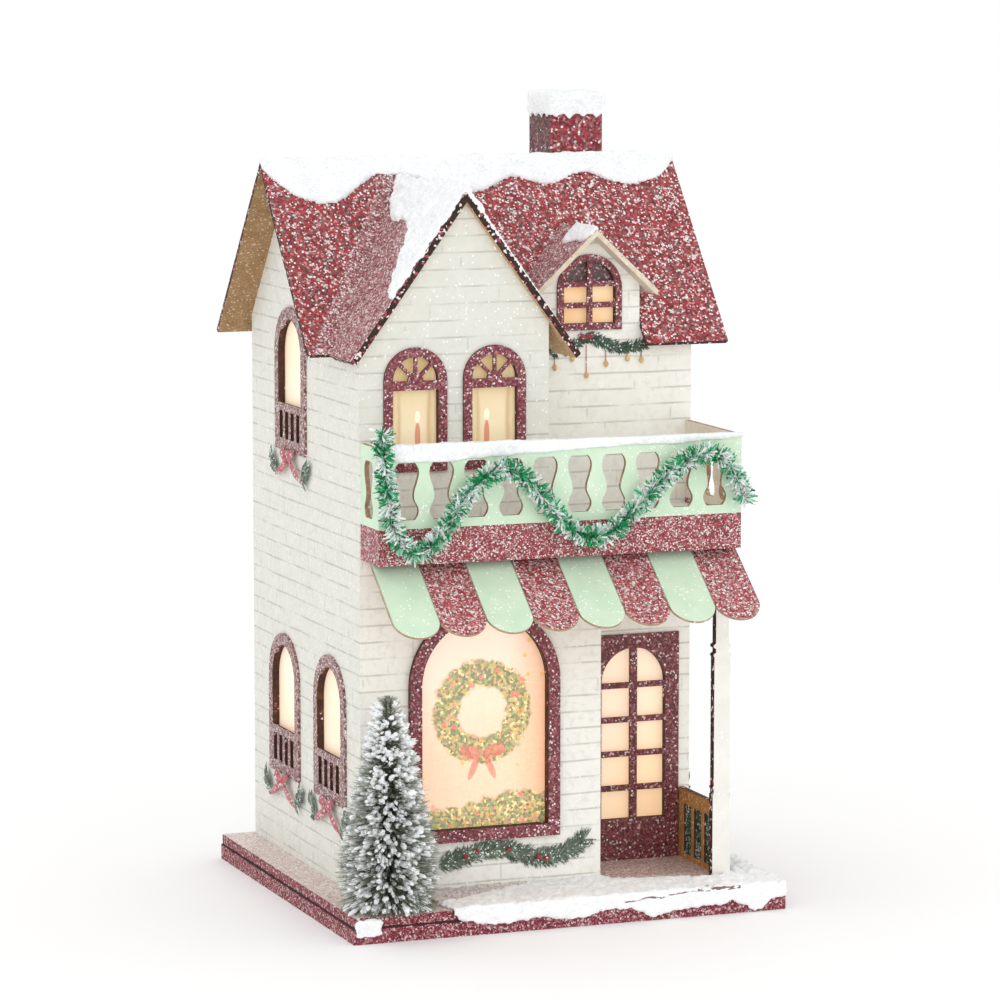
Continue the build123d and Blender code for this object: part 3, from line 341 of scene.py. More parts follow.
# the bay front: its paper is darker than the side walls' against the front's stronger light, painted shade, and
# lighter low down under the awning and behind the railing, painted light
bayBrick = dict(
    brickLook, paper=("E1E1D8", "D6D6CC"), mottle="DADAD0", lowPaper="F3F2EA",
    lowTo=(165 * mm, 190 * mm))
# painted light: the door wall, set back behind the bay, is papered lighter than the other walls against its shade
doorLitBrick = dict(brickLook, paper=("F8F7F0", "F0EFE6"), mottle="F4F2EA", stain="DEDBD0")
mintLook = dict(tones=("D8ECD3", "CAE3C6"), sparkle=0.18)
creamLook = dict(tones=("EEE6D6", "E2D6C2"), sparkle=0.04)
postLook = dict(tones=("F1F0EA", "E6E4DD"), sparkle=0.08)
rawLook = dict(tones=("80603C", "A27F58", "BF9E78"), pale="D2BE9E", fleck=0.06)
warmRawLook = dict(tones=("B48A5C", "C8A378", "D9BC94"), pale="F0E4CC", fleck=0.06)
burntLook = dict(burn=("231612", "3A2219", "6A4A30"), fleck=0.2, flecks=("A04A54", "E4DCD8"))
brownEdge = dict(burn=("3A2018", "543022", "7E5634"), fleck=0.03, flecks=("A05560", "D8CCC8"))
tanEdge = dict(brownEdge, burn=("94745C", "AC8E72", "C6AA8C"))
paperEdge = dict(burn=("D2C4AC", "DFD4C0", "ECE5D6"), fleck=0.02, flecks=("B08A60", "F4F0E8"))
rawBack, warmBack = (rawFinish, rawLook), (rawFinish, warmRawLook)
brownRim, tanRim = (burntFinish, brownEdge), (burntFinish, tanEdge)
brickSkin, mintSkin, postSkin = (brickFinish, brickLook), (mintFinish, mintLook), (mintFinish, postLook)

bayReveal = {"skin": brickSkin, "burnt": brownRim, "inside": between(-66, 2)}
doorReveal = {**bayReveal, "inside": between(15, 66)}
walls = {
    "bayFront": ("front", (revealFinish, bayReveal), bayBrick, "bay_front_wall"),
    "doorFront": ("front", (revealFinish, doorReveal), doorLitBrick, "door_wall"),
    "back": ("back", brickSkin, brickLook, "back_wall"),
    "left": ("left", brownRim, brickLook, "left_wall"),
    "right": ("right", brownRim, brickLook, "right_wall"),
    "return": ("right", brickSkin, brickLook, "bay_return_lower", "bay_return_upper", "dormer_cheeks")}
for name, (way, rim, look, *members) in walls.items():
    cover(name + "BrickPaper", way, (brickFinish, look), warmBack, rim, *members)

# side windows: the middle and sill of each, then an opening's half width and its height, in mm
upperSill, frameTop = 166, 9
sideSpec = dict(
    left=((-15.4, 40), (38.9, 40), (29.25, upperSill)), right=((5.525, 40), (52.975, 40), (29.25, upperSill)),
    half=15, foot=0.5, head=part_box("left_window_frames")[1].z / mm - upperSill - frameTop)
frames = {
    "front": (frameLook, "big_window_frame", "upper_window_frame_left", "upper_window_frame_right",
        "dormer_window_frame"),
    "left": (sideFrameLook, "left_window_frames"), "right": (sideFrameLook, "right_window_frames")}
for side, (look, *members) in frames.items():
    rim, skin = brownRim, (glitterFinish, look)
    if side in sideSpec:
        rim = (revealFinish, {"skin": skin, "burnt": brownRim, "inside": sideOpenings(sideSpec[side])})
    cover(side + "FrameGlitter", side, skin, rawBack, rim, *members)

railEnds = {"skin": mintSkin, "burnt": tanRim, "inside": between(-70.4, 70.4)}
for side in ("front", "left", "right"):
    rim = (revealFinish, railEnds) if side == "front" else tanRim
    cover(side + "RailMint", side, mintSkin, (mintFinish, creamLook), rim, "rail_" + side)
railRaw = dict(rawLook, tones=("8A5A2C", "B07A42", "C8965C"))
greenLook = dict(
    doorLook, tints={0.0: "22402E", 0.28: "2F5540", 0.55: "182C20", 0.76: "5D8068", 0.9: "C8D8CC"}, deep="122018",
    frost=0.2)
green = (glitterFinish, greenLook)
cover("doorGlitter", "front", (glitterFinish, doorLook), rawBack, brownRim, "front_door")
cover("postCream", "front", postSkin, warmBack, (burntFinish, burntLook), "porch_post")
cover("porchRailBoard", "left", (rawFinish, railRaw), rawBack, brownRim, "porch_rail")
cover("porchBackingGlitter", "left", green, green, brownRim, "porch_rail_backing")
cover("floorBoard", "up", postSkin, rawBack, brownRim, "balcony_floor")

# painted light: the gable's left slope is glittered lighter and greyer than its right, and this runs a little
# past its valley on the main roof
valleySpec = dict(ridge=-30.85 * mm, top=268.8 * mm, pitch=math.radians(53.7), past=5.5 * mm, ragged=3 * mm)


def valleyFinish(place, look):
    x, z = place.parts()[::2]
    above = (z - look["top"]) * math.cos(look["pitch"]) - (x - look["ridge"]) * math.sin(look["pitch"])
    ragged = (place.cloud(4, 3.0) - 0.5) * look["ragged"]
    near = (x < look["ridge"]) * (above + ragged < look["past"])
    plain, litSide = glitterFinish(place, crimsonLook), glitterFinish(place, litSlopeLook)
    return {**plain, "colour": near.blend(plain["colour"], litSide["colour"])}


# each roof board has its own slope
# the left-facing slopes take the lighter look, painted light
roofBoards = {
    "main_roof_front": ((0, -1), 50.0, valleySpec), "main_roof_back": ((0, 1), 50.0, crimsonLook),
    "gable_roof_left": ((-1, 0), 53.7, litSlopeLook), "gable_roof_right": ((1, 0), 53.7, crimsonLook),
    "dormer_roof_left": ((-1, 0), 43.0, litSlopeLook), "dormer_roof_right": ((1, 0), 43.0, crimsonLook)}
for member, (way, pitch, look) in roofBoards.items():
    lean = math.radians(pitch)
    out = (way[0] * math.sin(lean), way[1] * math.sin(lean), math.cos(lean))
    under, edge = rawBack if "main" in member else warmBack, burntLook
    if "dormer" in member:
        under, edge = (mintFinish, creamLook), paperEdge
    face = (valleyFinish if look is valleySpec else glitterFinish, look)
    cover(member + "Glitter", out, face, under, (burntFinish, edge), member)
flue = (glitterFinish, flueLook)
# the left face takes the darker look, painted shade
cover("chimneyGlitter", "left", (glitterFinish, flueLeftPaintedShade), flue, flue, "chimney")
dress(wholeMaterial("fasciaGlitter", glitterFinish, fasciaLook), "fascia_front", "fascia_left", "fascia_right")

# base: dusty on top, with a dark seam under the deck that is painted shadow
baseLook = dict(
    crimsonLook, fleck=0.6, tints={0.0: "8A323C", 0.28: "A04C56", 0.5: "6C2832", 0.68: "BC868A",
    0.9: "E6D6D6"}, dot=0.95, frost=0.08, drift=0.12, seam=5.8, seamWidth=1.6, seamBreak=0.4, gap="401A20")
deckLook = dict(
    litSlopeLook, tints={0.0: "C6A19C", 0.3: "D8BBB4", 0.55: "B28C88", 0.7: "EADCD5", 0.88: "F4EDEA"}, frost=0.4)
openLook = dict(
    deckLook, tints={0.0: "DDC9C0", 0.3: "ECDFD7", 0.55: "CBB3AA", 0.7: "F6F0EB", 0.85: "D4B7B1"}, depth=0.26)
seamShadowLook = dict(burn=("1E1014", "2C181C", "3E2428"), fleck=0.02, flecks=("5A2A34", "7A5A60"))
deckTop = {"open": openLook, "porch": deckLook, "corner": (3, -50)}
cover("deckGlitter", "up", (deckFinish, deckTop), rawBack, (seamShadowFinish, baseLook), "base_deck")
# painted shadow: the slab's top, seen only at the ledge under the deck, is dark
cover("slabGlitter", "up", (burntFinish, seamShadowLook), rawBack, (seamShadowFinish, baseLook), "base_slab")

# awning: stripes across its width, mint first
awningSpec = dict(
    stripes=8, low=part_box("awning")[0].x, high=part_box("awning")[1].x, line="5A4A3A", slope=math.radians(37.5))


def awningFinish(place, look):
    stripe = (place.parts()[0] - look["low"]) * (look["stripes"] / (look["high"] - look["low"]))
    odd = (stripe / 2).math("FRACT") > 0.5
    mint, red = mintFinish(place, mintLook), glitterFinish(place, awningRed)
    line = 1 - stripe.math("PINGPONG", 0.5).rise(0.01, 0.026)
    colour = (line * 0.5).blend(odd.blend(mint["colour"], red["colour"]), look["line"])
    return {"colour": colour, "rough": 0.6, "height": odd * red["height"], "lean": red["lean"],
            "leanBy": odd * red["leanBy"]}


awningOut = (0, -math.sin(awningSpec["slope"]), math.cos(awningSpec["slope"]))
awningRim = (burntFinish, {**tanEdge, "burn": ("9E8068", "B89C80", "C6AA8C")})
cover("awningStripes", awningOut, (awningFinish, awningSpec), warmBack, awningRim, "awning")
print("board materials done")


# window films, painted by formula; each glows by its own emission, painted light standing in for the lamp behind
# it
def spot(u, v, centre, radius, turn=0.0):
    # soft ellipse
    co, si = math.cos(turn), math.sin(turn)
    du, dv = u - centre[0], v - centre[1]
    across = (du * co + dv * si) / radius[0]
    up = (dv * co - du * si) / radius[1]
    return 1 - (across * across + up * up).rise(0.75, 1.15)


def dots(place, size, above, edge):
    flake = place.specks(size)
    return (flake[2] > above) * (1 - flake[0].rise(*edge))


# the bow is its loops and its tails: centre, radii and turn of the right one
wreathSpec = dict(
    centre=(-23.4, 76.0), ring=14.5, width=5.2, foot=32.9, bow=(((4.6, -15.0), (4.6, 2.5), 0.35), ((3.2, -20.5),
    (1.3, 5.4), 0.4)))


def wreathPaint(place):
    x, z = place.parts()[::2]
    u, v = x / mm - wreathSpec["centre"][0], z / mm - wreathSpec["centre"][1]
    wobble = (place.cloud(4, 3.0) - 0.5) * 5
    glow = (v / 90 + place.cloud(30) * 0.3).ramp((0.0, "F8CEAE"), (0.35, "FCE2CE"), (0.7, "FDEADC"))
    glow = ((u / 24).rise(0.3, 1.0) * 0.75).blend(glow, "F6B78C")
    off = abs((u * u + v * v).math("SQRT") - wreathSpec["ring"])
    ring = 1 - (off + wobble).rise(wreathSpec["width"] - 1, wreathSpec["width"] + 0.6)
    bank = 1 - (z / mm - wreathSpec["foot"] + wobble * 1.4 - (u / 9).math("SINE") * 2.5).rise(9.0, 11.0)
    leafy = ring | bank
    leaf = place.specks(1.0)[1].ramp(
        (0.0, "6E7E46"), (0.24, "969C56"), (0.44, "526E42"), (0.6, "C2B05C"), (0.74, "DDA95A"), (0.84, "EFD894"),
        (0.93, "DE8C7A"), steps="CONSTANT")
    leaf = dots(place, 3.4, 0.7, (0.25, 0.36)).blend(leaf, "D9685A")
    paint = (leafy * 0.86).blend(glow, leaf)
    loops, tails = [spot(u, v, (-across, level), size, -turn) | spot(u, v, (across, level), size, turn)
                    for (across, level), size, turn in wreathSpec["bow"]]
    paint = ((loops | tails) * 0.7).blend(paint, "D9675A")
    gold = dots(place, 6.5, 0.72, (0.1, 0.16)) * (1 - leafy)
    paint = (gold * 0.8).blend(paint, "EDB84E")
    weave = place.stretched(1, 1, 0.2).cloud(0.5) * 0.5 + place.stretched(0.2, 1, 1).cloud(0.5) * 0.5
    return (weave.rise(0.35, 0.75) * 0.18).blend(paint, "FFF3E4")


candleSpec = dict(centres=(-50.0, -19.3), offsets=(1.6, -2.2), sill=169.9)


def candlePaint(place):
    x, z = place.parts()[::2]
    v = z / mm - candleSpec["sill"]
    paint = (v / 46 + place.cloud(9) * 0.25).ramp((0.0, "DDC08C"), (0.4, "E6D6B4"), (0.9, "D8BC86"))
    for middle, offset in zip(candleSpec["centres"], candleSpec["offsets"]):
        u = x / mm - middle
        folds = (u * 1.7 + place.cloud(5) * 2).math("SINE") * 0.5 + 0.5
        drape = (abs(u) + (v / 9).math("SINE") * 1.2).rise(5.2, 7.0) * (1 - abs(u).rise(9.0, 10.0))
        paint = (drape * 0.6).blend(paint, folds.ramp((0.0, "C2955E"), (1.0, "EBD2A6")))
        paint = (spot(u, v, (offset, 9.0), (1.1, 5.6)) * 0.7).blend(paint, "C7553F")
        paint = (spot(u, v, (offset, 16.5), (1.0, 2.2)) * 0.9).blend(paint, "FFF6D0")
        leaves = spot(u, v, (offset - 0.4, 3.2), (5.2, 2.6)) * (place.cloud(1.6, 3.0) > 0.45)
        paint = (leaves * 0.8).blend(paint, "8C8A50")
    return paint


# painted shade: the film is dark brown behind the slots at each side window's foot
slotShadeSpec = dict(lowerTo=56.5, upperFrom=150, upperTo=182.5)


def sidePaint(place):
    level = place.parts()[2] / mm
    lit = place.cloud(25, 3.0).tones("F8DDBC", "FAE8D4")
    shadedSlots = (level < slotShadeSpec["lowerTo"]) + (level > slotShadeSpec["upperFrom"]) * (level < slotShadeSpec["upperTo"])
    return shadedSlots.blend(lit, place.cloud(3, 3.0).tones("3A2216", "6A4226"))


def doorPaint(place):
    x, z = place.parts()[::2]
    warm = z / mm / 90 + place.cloud(20) * 0.2 - (x / mm - 48) / 90
    return warm.ramp((0.15, "F6C894"), (0.5, "F8D8B0"), (0.9, "FAE0C6"))


def dormerPaint(place):
    # lit below its arch
    lit = 1 - (place.parts()[2] / mm).rise(230.2, 230.6)
    unlit = place.specks(0.8)[1].ramp((0.0, "4A3436"), (0.5, "5E4648"), (0.85, "9A8886"), steps="CONSTANT")
    return lit.blend(unlit, place.cloud(12).tones("ECC08A", "F1D0A4"))


def filmMaterial(name, paint, strength):
    material, place = startMaterial(name)
    colour = paint(place)
    return shaded(material, {"Base Color": colour, "Emission Color": colour, "Emission Strength": strength,
        "Roughness": 0.45, "Normal": bumped(place, place.cloud(0.5), 0.1, 0.2 * mm)})


films = {
    "bigFilm": (wreathPaint, 0.34, "big_window_film"), "upperFilm": (candlePaint, 0.25, "upper_window_films"),
    "sideFilm": (sidePaint, 0.3, "side_window_films"), "doorFilm": (doorPaint, 0.42, "door_film"),
    "dormerFilm": (dormerPaint, 0.35, "dormer_window_film")}
for name, (paint, glow, member) in films.items():
    dress(filmMaterial(name, paint, glow), member)
print("films painted")


# plain parts of the battery box
def plainMaterial(name, tones, size, values):
    material, place = startMaterial(name)
    tone = place.cloud(size, 4.0)
    return shaded(material, {"Base Color": tone.tones(*tones), "Normal": bumped(place, tone, 0.15, 0.1 * mm),
        **values})


lampGlow = {"Roughness": 0.3, "Emission Strength": 1.5, "Emission Color": linear("FFDCA0")}
plainParts = {
    "mouldedBlack": (("16161A", "222226"), 0.4, {"Roughness": 0.5},
        "battery_box", "battery_door", "switch_body", "lamp_holder"),
    "switchGrey": (("4A4A4E", "5A5A5E"), 0.4, {"Roughness": 0.45}, "switch_slider"),
    "wireSteel": (("7C7C7C", "A2A2A0"), 0.8, {"Roughness": 0.35, "Metallic": 1.0}, "tree_wire", "contact_leaves"),
    "cellCan": (("5A5F66", "6E747C"), 3, {"Roughness": 0.3, "Metallic": 0.8}, "battery_cells"),
    "lampLens": (("FFE9C4", "FFF3DC"), 2, lampGlow, "led_lamp")}
for name, (tones, size, values, *members) in plainParts.items():
    dress(plainMaterial(name, tones, size, values), *members)
print("plain parts done")


# pieces
def meshFrom(name, bm):
    mesh = bpy.data.meshes.new(name)
    bm.to_mesh(mesh)
    bm.free()
    return mesh


def addObject(name, data):
    made = bpy.data.objects.new(name, data)
    bpy.context.scene.collection.objects.link(made)
    return made


def addPiece(name, bm, materials, slot, *replaced, smooth=False):
    mesh = meshFrom(name, bm)
    for material in materials:
        mesh.materials.append(material)
    mesh.shade_smooth() if smooth else mesh.shade_flat()
    piece = addObject(name, mesh)
    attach(piece, "house")
    if replaced:
        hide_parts(*replaced)
    print(name, len(mesh.polygons), "faces")


def gather(whole, chunk):
    scrap = meshFrom("scrap", chunk)
    whole.from_mesh(scrap)
    bpy.data.meshes.remove(scrap)


def inBatches(whole, count, add, batch=250):
    # operators on many small bmeshes are quicker than on a large one
    for start in range(0, count, batch):
        chunk = bmesh.new()
        for index in range(start, min(count, start + batch)):
            add(chunk, index)
        gather(whole, chunk)


def paintFaces(verts, slot):
    for face in {face for vert in verts for face in vert.link_faces}:
        face.material_index = slot


def pointed(at, way):
    return Matrix.Translation(at) @ way.to_track_quat("Z", "Y").to_matrix().to_4x4()


def clamped(share):
    return min(1, max(0, share))


# snow paste: each CAD layer is remeshed, rounded and heaved
snowSpec = dict(
    voxel=0.55 * mm, rounds=3, lump=0.6 * mm, lumpSize=6.0 * mm, grain=0.28 * mm, grainSize=1.5 * mm,
    lift=0.2 * mm)
raggedSpec = dict(snowSpec, lump=0.9 * mm, lumpSize=4.0 * mm, grain=0.6 * mm)

# the deck's snow: thin and dusty beside the wall, cracked in front of the porch, in mm
marksSpec = dict(
    dustEdge=-48, dustSlant=0.5, dustEnd=25, dustRagged=12, dust=0.75, crackLevel=7.4, crackSlant=0.045,
    crackWander=3, crackEnds=(16, 66), crackWidth=(0.3, 0.4), front=-77, crack="86625C")


def deckMarks(place, tone, spec=marksSpec):
    x, y, z = [part / mm for part in place.parts()]
    ragged = (place.cloud(5, 4.0) - 0.5) * spec["dustRagged"]
    dusty = y + ragged > x * spec["dustSlant"] + spec["dustEdge"]
    dust = place.specks(0.7)[1].ramp(
        (0.0, "B9A6A0"), (0.3, "CFC2BB"), (0.55, "A58E88"), (0.7, "E6DED9"), steps="CONSTANT")
    tone = (dusty * (x < spec["dustEnd"]) * spec["dust"]).blend(tone, dust)
    wander = (place.cloud(7, 4.0) - 0.5) * spec["crackWander"]
    course = z - x * spec["crackSlant"] + wander - spec["crackLevel"]
    thin, more = spec["crackWidth"]
    start, end = spec["crackEnds"]
    crack = (abs(course) < x.rise(40, 62) * more + thin) * (x > start) * (x < end) * (y < spec["front"])
    return (crack * (place.stretched(0.25, 1, 1).cloud(1.6, 3.0) > 0.48)).blend(tone, spec["crack"])


def snowMaterial(name, marks=None, shade=("E4E8EA", "F2F4F5")):
    material, place = startMaterial(name)
    flake = place.specks(0.8)
    grain, pick, spin = flake[0], flake[1], flake[3]
    tone = (place.cloud(7, 3.0) * 0.6 + pick * 0.4).ramp((0.2, shade[0]), (0.5, shade[1]), (0.8, "FFFFFF"))
    if marks:
        tone = marks(place, tone)
    return shaded(material, {"Base Color": tone, "Roughness": 0.8 - (spin > 0.85) * 0.5,
        "Normal": bumped(place, grain * 0.7 + pick * 0.5, 0.35, 0.4 * mm)})


def snowFrom(node, name, spec, material, shape=None):
    bm = bmesh.new()
    bm.from_mesh(nodes[node].data)
    bmesh.ops.remove_doubles(bm, verts=bm.verts, dist=0.001 * mm)
    holder = addObject("holder", meshFrom("core", bm))
    voxels = holder.modifiers.new("voxels", "REMESH")
    voxels.mode = "VOXEL"
    voxels.voxel_size = spec["voxel"]
    view = bpy.context.evaluated_depsgraph_get()
    drawn = bpy.data.meshes.new_from_object(holder.evaluated_get(view))
    bpy.data.objects.remove(holder)
    bm = bmesh.new()
    bm.from_mesh(drawn)
    for turn in range(spec["rounds"]):
        bmesh.ops.smooth_vert(bm, verts=bm.verts, factor=0.5, use_axis_x=True, use_axis_y=True, use_axis_z=True)
    bm.normal_update()
    for vert in bm.verts:
        heave = (spec["lift"] + spec["lump"] * noise.noise(vert.co / spec["lumpSize"])
                 + spec["grain"] * noise.noise(vert.co / spec["grainSize"]))
        vert.co += vert.normal * heave
        if shape:
            vert.co = shape(vert.co)
    addPiece(name, bm, [material], "snow_paste", node, smooth=True)


# the railing's snow thins out towards the right
railSnowSpec = dict(top=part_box("rail_front")[1].z, start=-20 * mm, over=50 * mm, thin=0.6)


def thinRight(co):
    top = railSnowSpec["top"]
    share = clamped((co.x - railSnowSpec["start"]) / railSnowSpec["over"])
    return Vector((co.x, co.y, top + (co.z - top) * (1 - railSnowSpec["thin"] * share) if co.z > top else co.z))


# the dormer's patch is smaller than its layer, from the ridge's front end
dormerLow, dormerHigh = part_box("dormer_roof_left")
patchSpec = dict(end=Vector((dormerHigh.x, dormerLow.y, dormerHigh.z)), share=0.78)


def shrunk(co):
    return patchSpec["end"] + (co - patchSpec["end"]) * patchSpec["share"]


# how far the drips over the front edge reach below their layer, along it, and where they set in, in mm
hangSpec = dict(
    drops=((10, 0.0), (18, 3.0), (26, 2.5), (33, 2.0), (45, 5.0), (61, 3.7), (73, 2.6), (86, 3.3)), front=-78.5,
    frontSoft=1.5, level=11, levelSoft=2.5, lowest=0.6)


def hangLower(co):
    drop = 0.0
    for (start, first), (end, last) in zip(hangSpec["drops"], hangSpec["drops"][1:]):
        share = (co.x / mm - start) / (end - start)
        if 0 <= share <= 1:
            drop = first + (last - first) * share
    ahead = clamped((hangSpec["front"] - co.y / mm) / hangSpec["frontSoft"])
    below = clamped((hangSpec["level"] - co.z / mm) / hangSpec["levelSoft"])
    return Vector((co.x, co.y, max(hangSpec["lowest"] * mm, co.z - drop * ahead * below * mm)))


snowPaste = snowMaterial("snowPaste")
# the deck's paste is whiter than the rest of the snow, painted light against the balcony's shade; its marks are
# dust and a crack
deckPasteLit = snowMaterial("deckPasteLit", deckMarks, ("EBEEEF", "F6F7F8"))
snows = {
    "ridge": (snowSpec, snowPaste), "chimney": (snowSpec, snowPaste),
    "rail": (snowSpec, snowPaste, thinRight), "dormer": (snowSpec, snowPaste, shrunk),
    "gable": (raggedSpec, snowPaste), "deck": (raggedSpec, deckPasteLit, hangLower)}
for layer, (spec, material, *shape) in snows.items():
    snowFrom(layer + "_snow", layer + "Snow", spec, material, *shape)

# a chip of paste over the base's front left corner, in mm
chipSpec = dict(inset=5.4, level=5.8, half=(5.2, 0.8, 3.3), rough=0.22, lump=1.6, square=0.5)


def buildChip(spec):
    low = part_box("base_deck")[0]
    at = Vector((low.x + spec["inset"] * mm, low.y, spec["level"] * mm))
    bm = bmesh.new()
    place = Matrix.Translation(at) @ Matrix.Diagonal((*(size * mm for size in spec["half"]), 1))
    made = bmesh.ops.create_icosphere(bm, subdivisions=5, radius=1.0, matrix=place)
    for vert in made["verts"]:
        away = vert.co - at
        for axis, half in enumerate(spec["half"]):
            share = away[axis] / (half * mm)
            away[axis] = math.copysign(abs(share) ** spec["square"], share) * half * mm
        vert.co = at + away * (1 + noise.noise(vert.co / (spec["lump"] * mm)) * spec["rough"])
    addPiece("cornerSnow", bm, [snowPaste], "snow_paste", smooth=True)


buildChip(chipSpec)

# a thin bead of snow down the gable's right edge, in mm
beadSpec = dict(count=150, size=(0.5, 1.0), end=0.9, taper=1.15, inset=(0.3, 1.2))


def buildBead(spec):
    rng = random.Random(3)
    low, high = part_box("gable_roof_right")
    bm = bmesh.new()
    for index in range(spec["count"]):
        share = index / spec["count"] * spec["end"]
        x = valleySpec["ridge"] + (high.x - valleySpec["ridge"]) * share
        z = valleySpec["top"] - (x - valleySpec["ridge"]) * math.tan(valleySpec["pitch"])
        radius = rng.uniform(*spec["size"]) * mm * (spec["taper"] - share)
        at = Vector((x, low.y + rng.uniform(*spec["inset"]) * mm, z))
        bmesh.ops.create_icosphere(bm, subdivisions=2, radius=radius, matrix=Matrix.Translation(at))
    addPiece("rakeSnow", bm, [snowPaste], "snow_paste", smooth=True)


buildBead(beadSpec)

# tinsel: foil strips round a wire, along the railing
tinselSpec = dict(
    route=((-71.5, 174.5), (-70.6, 162.5), (-69.4, 148.5), (-66.3, 135.0), (-58.0, 127.6), (-48.6, 136.5),
    (-40.6, 149.3), (-31.2, 159.2), (-20.6, 160.6), (-11.6, 151.4), (-4.0, 140.4), (5.4, 132.8), (16.0, 132.4),
    (26.6, 143.2), (37.6, 153.8), (48.4, 161.4), (58.4, 163.0), (66.4, 156.2), (70.4, 143.2)), strips=6000,
    length=(2.4, 5.3), width=(0.4, 0.8), foil=0.05, lean=0.9, patch=5, patchy=0.8, shares=(0.34, 0.41, 0.53),
    wires=120, wire=0.5, wireLength=3.0)
foilTones = {
    "foilGreen": (("189A5A", "34B97A"), {"Roughness": 0.35, "Metallic": 0.25}),
    "foilDark": (("24503E", "3A7058"), {"Roughness": 0.4, "Metallic": 0.2}),
    "foilMint": (("7CC8A4", "A8DEC6"), {"Roughness": 0.35}),
    "foilWhite": (("E4ECE9", "FFFFFF"), {"Roughness": 0.4})}


def smoothRoute(points):
    curve = bpy.data.curves.new("route", "CURVE")
    curve.dimensions = "3D"
    spline = curve.splines.new("NURBS")
    spline.points.add(len(points) - 1)
    for point, at in zip(spline.points, points):
        point.co = (*at, 1.0)
    spline.order_u = 4
    spline.use_endpoint_u = True
    spline.resolution_u = 24
    holder = bpy.data.objects.new("route", curve)
    drawn = bpy.data.meshes.new_from_object(holder)
    line = [vert.co.copy() for vert in drawn.vertices]
    bpy.data.objects.remove(holder)
    return line


def alongLine(line, share):
    lengths = [(after - before).length for before, after in zip(line, line[1:])]
    left = share * sum(lengths)
    for before, after, length in zip(line, line[1:], lengths):
        if left <= length:
            return before.lerp(after, left / length), (after - before).normalized()
        left -= length
    return line[-1], (line[-1] - line[-2]).normalized()


def addRod(bm, place, radius, length, slot):
    made = bmesh.ops.create_cone(bm, cap_ends=True, segments=6, radius1=radius, radius2=radius, depth=length,
                                 matrix=place)
    paintFaces(made["verts"], slot)


def buildTinsel(spec):
    rng = random.Random(11)
    low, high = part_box("tinsel_garland")
    deep = (low.y + high.y) / 2
    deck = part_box("base_deck")[1].z
    line = smoothRoute([(x * mm, deep, z * mm + deck) for x, z in spec["route"]])

    def addStrip(chunk, index):
        centre, way = alongLine(line, (index + rng.random()) / spec["strips"])
        side = way.orthogonal().normalized()
        side.rotate(Matrix.Rotation(rng.uniform(0, 2 * math.pi), 3, way))
        out = (side + way * rng.uniform(-1, 1) * spec["lean"]).normalized()
        length = rng.uniform(*spec["length"]) * mm
        spin = Matrix.Rotation(rng.uniform(0, 2 * math.pi), 4, "Z")
        size = Matrix.Diagonal((rng.uniform(*spec["width"]) * mm, spec["foil"] * mm, length, 1))
        place = pointed(centre + out * length / 2, out) @ spin @ size
        made = bmesh.ops.create_cube(chunk, size=1.0, matrix=place)
        patch = noise.noise((centre + out * length) / (spec["patch"] * mm))
        roll = rng.random() - patch * spec["patchy"]
        paintFaces(made["verts"], sum(roll >= share for share in spec["shares"]))

    def addWire(chunk, index):
        centre, way = alongLine(line, (index + 0.5) / spec["wires"])
        addRod(chunk, pointed(centre, way), spec["wire"] * mm, spec["wireLength"] * mm, 1)

    whole = bmesh.new()
    inBatches(whole, spec["strips"], addStrip)
    inBatches(whole, spec["wires"], addWire)
    foils = [plainMaterial(name, tones, 2.5, values) for name, (tones, values) in foilTones.items()]
    addPiece("tinselStrips", whole, foils, "tinsel_foil", "tinsel_garland")


buildTinsel(tinselSpec)

# bottle brush tree: wire bristles with flocked tips, in mm and degrees
treeSpec = dict(
    bristles=6600, bristle=0.17, tip=0.09, crowding=0.6, skirt=0.13, skirtRadius=0.8, tipRadius=3.0,
    fullness=0.85, uneven=(0.8, 1.03), lift=(-10, 8), liftMore=20, steep=0.88, steepBy=55, droop=0.08, droopBy=40,
    longer=0.5, ends=1.0, foot=0.4, head=0.3)
flockSpec = dict(
    clumps=3600, size=(0.45, 1.15), at=(0.62, 0.92), girth=(0.5, 1.2), length=(1.2, 2.6), patch=4, bare=-0.1,
    head=1.0, lump=0.8, rough=0.5)


def treeReach(share, radius):
    taper = ((1 - share) / (1 - treeSpec["skirt"])) ** treeSpec["fullness"]
    skirt = treeSpec["skirtRadius"] + (1 - treeSpec["skirtRadius"]) * share / treeSpec["skirt"]
    return treeSpec["tipRadius"] * mm + (radius - treeSpec["tipRadius"] * mm) * min(taper, skirt)


def bristleMaterial(axis, low, high, radius):
    material, place = startMaterial("bristle")
    x, y, z = place.parts()
    far = (x - axis[0]) * (x - axis[0]) + (y - axis[1]) * (y - axis[1])
    share = (z - low) / (high - low)
    reach = ((1 - share) / (1 - treeSpec["skirt"])).math("MINIMUM", 1.0) * radius + treeSpec["tipRadius"] * mm
    tip = far.math("SQRT") / reach + (place.cloud(5, 3.0) - 0.5) * 0.9
    green = place.cloud(1.5).tones("4C5345", "8E957F")
    return shaded(material, {"Base Color": (tip.rise(0.6, 1.05) * 0.5).blend(green, "E2E4DC"), "Roughness": 0.75})


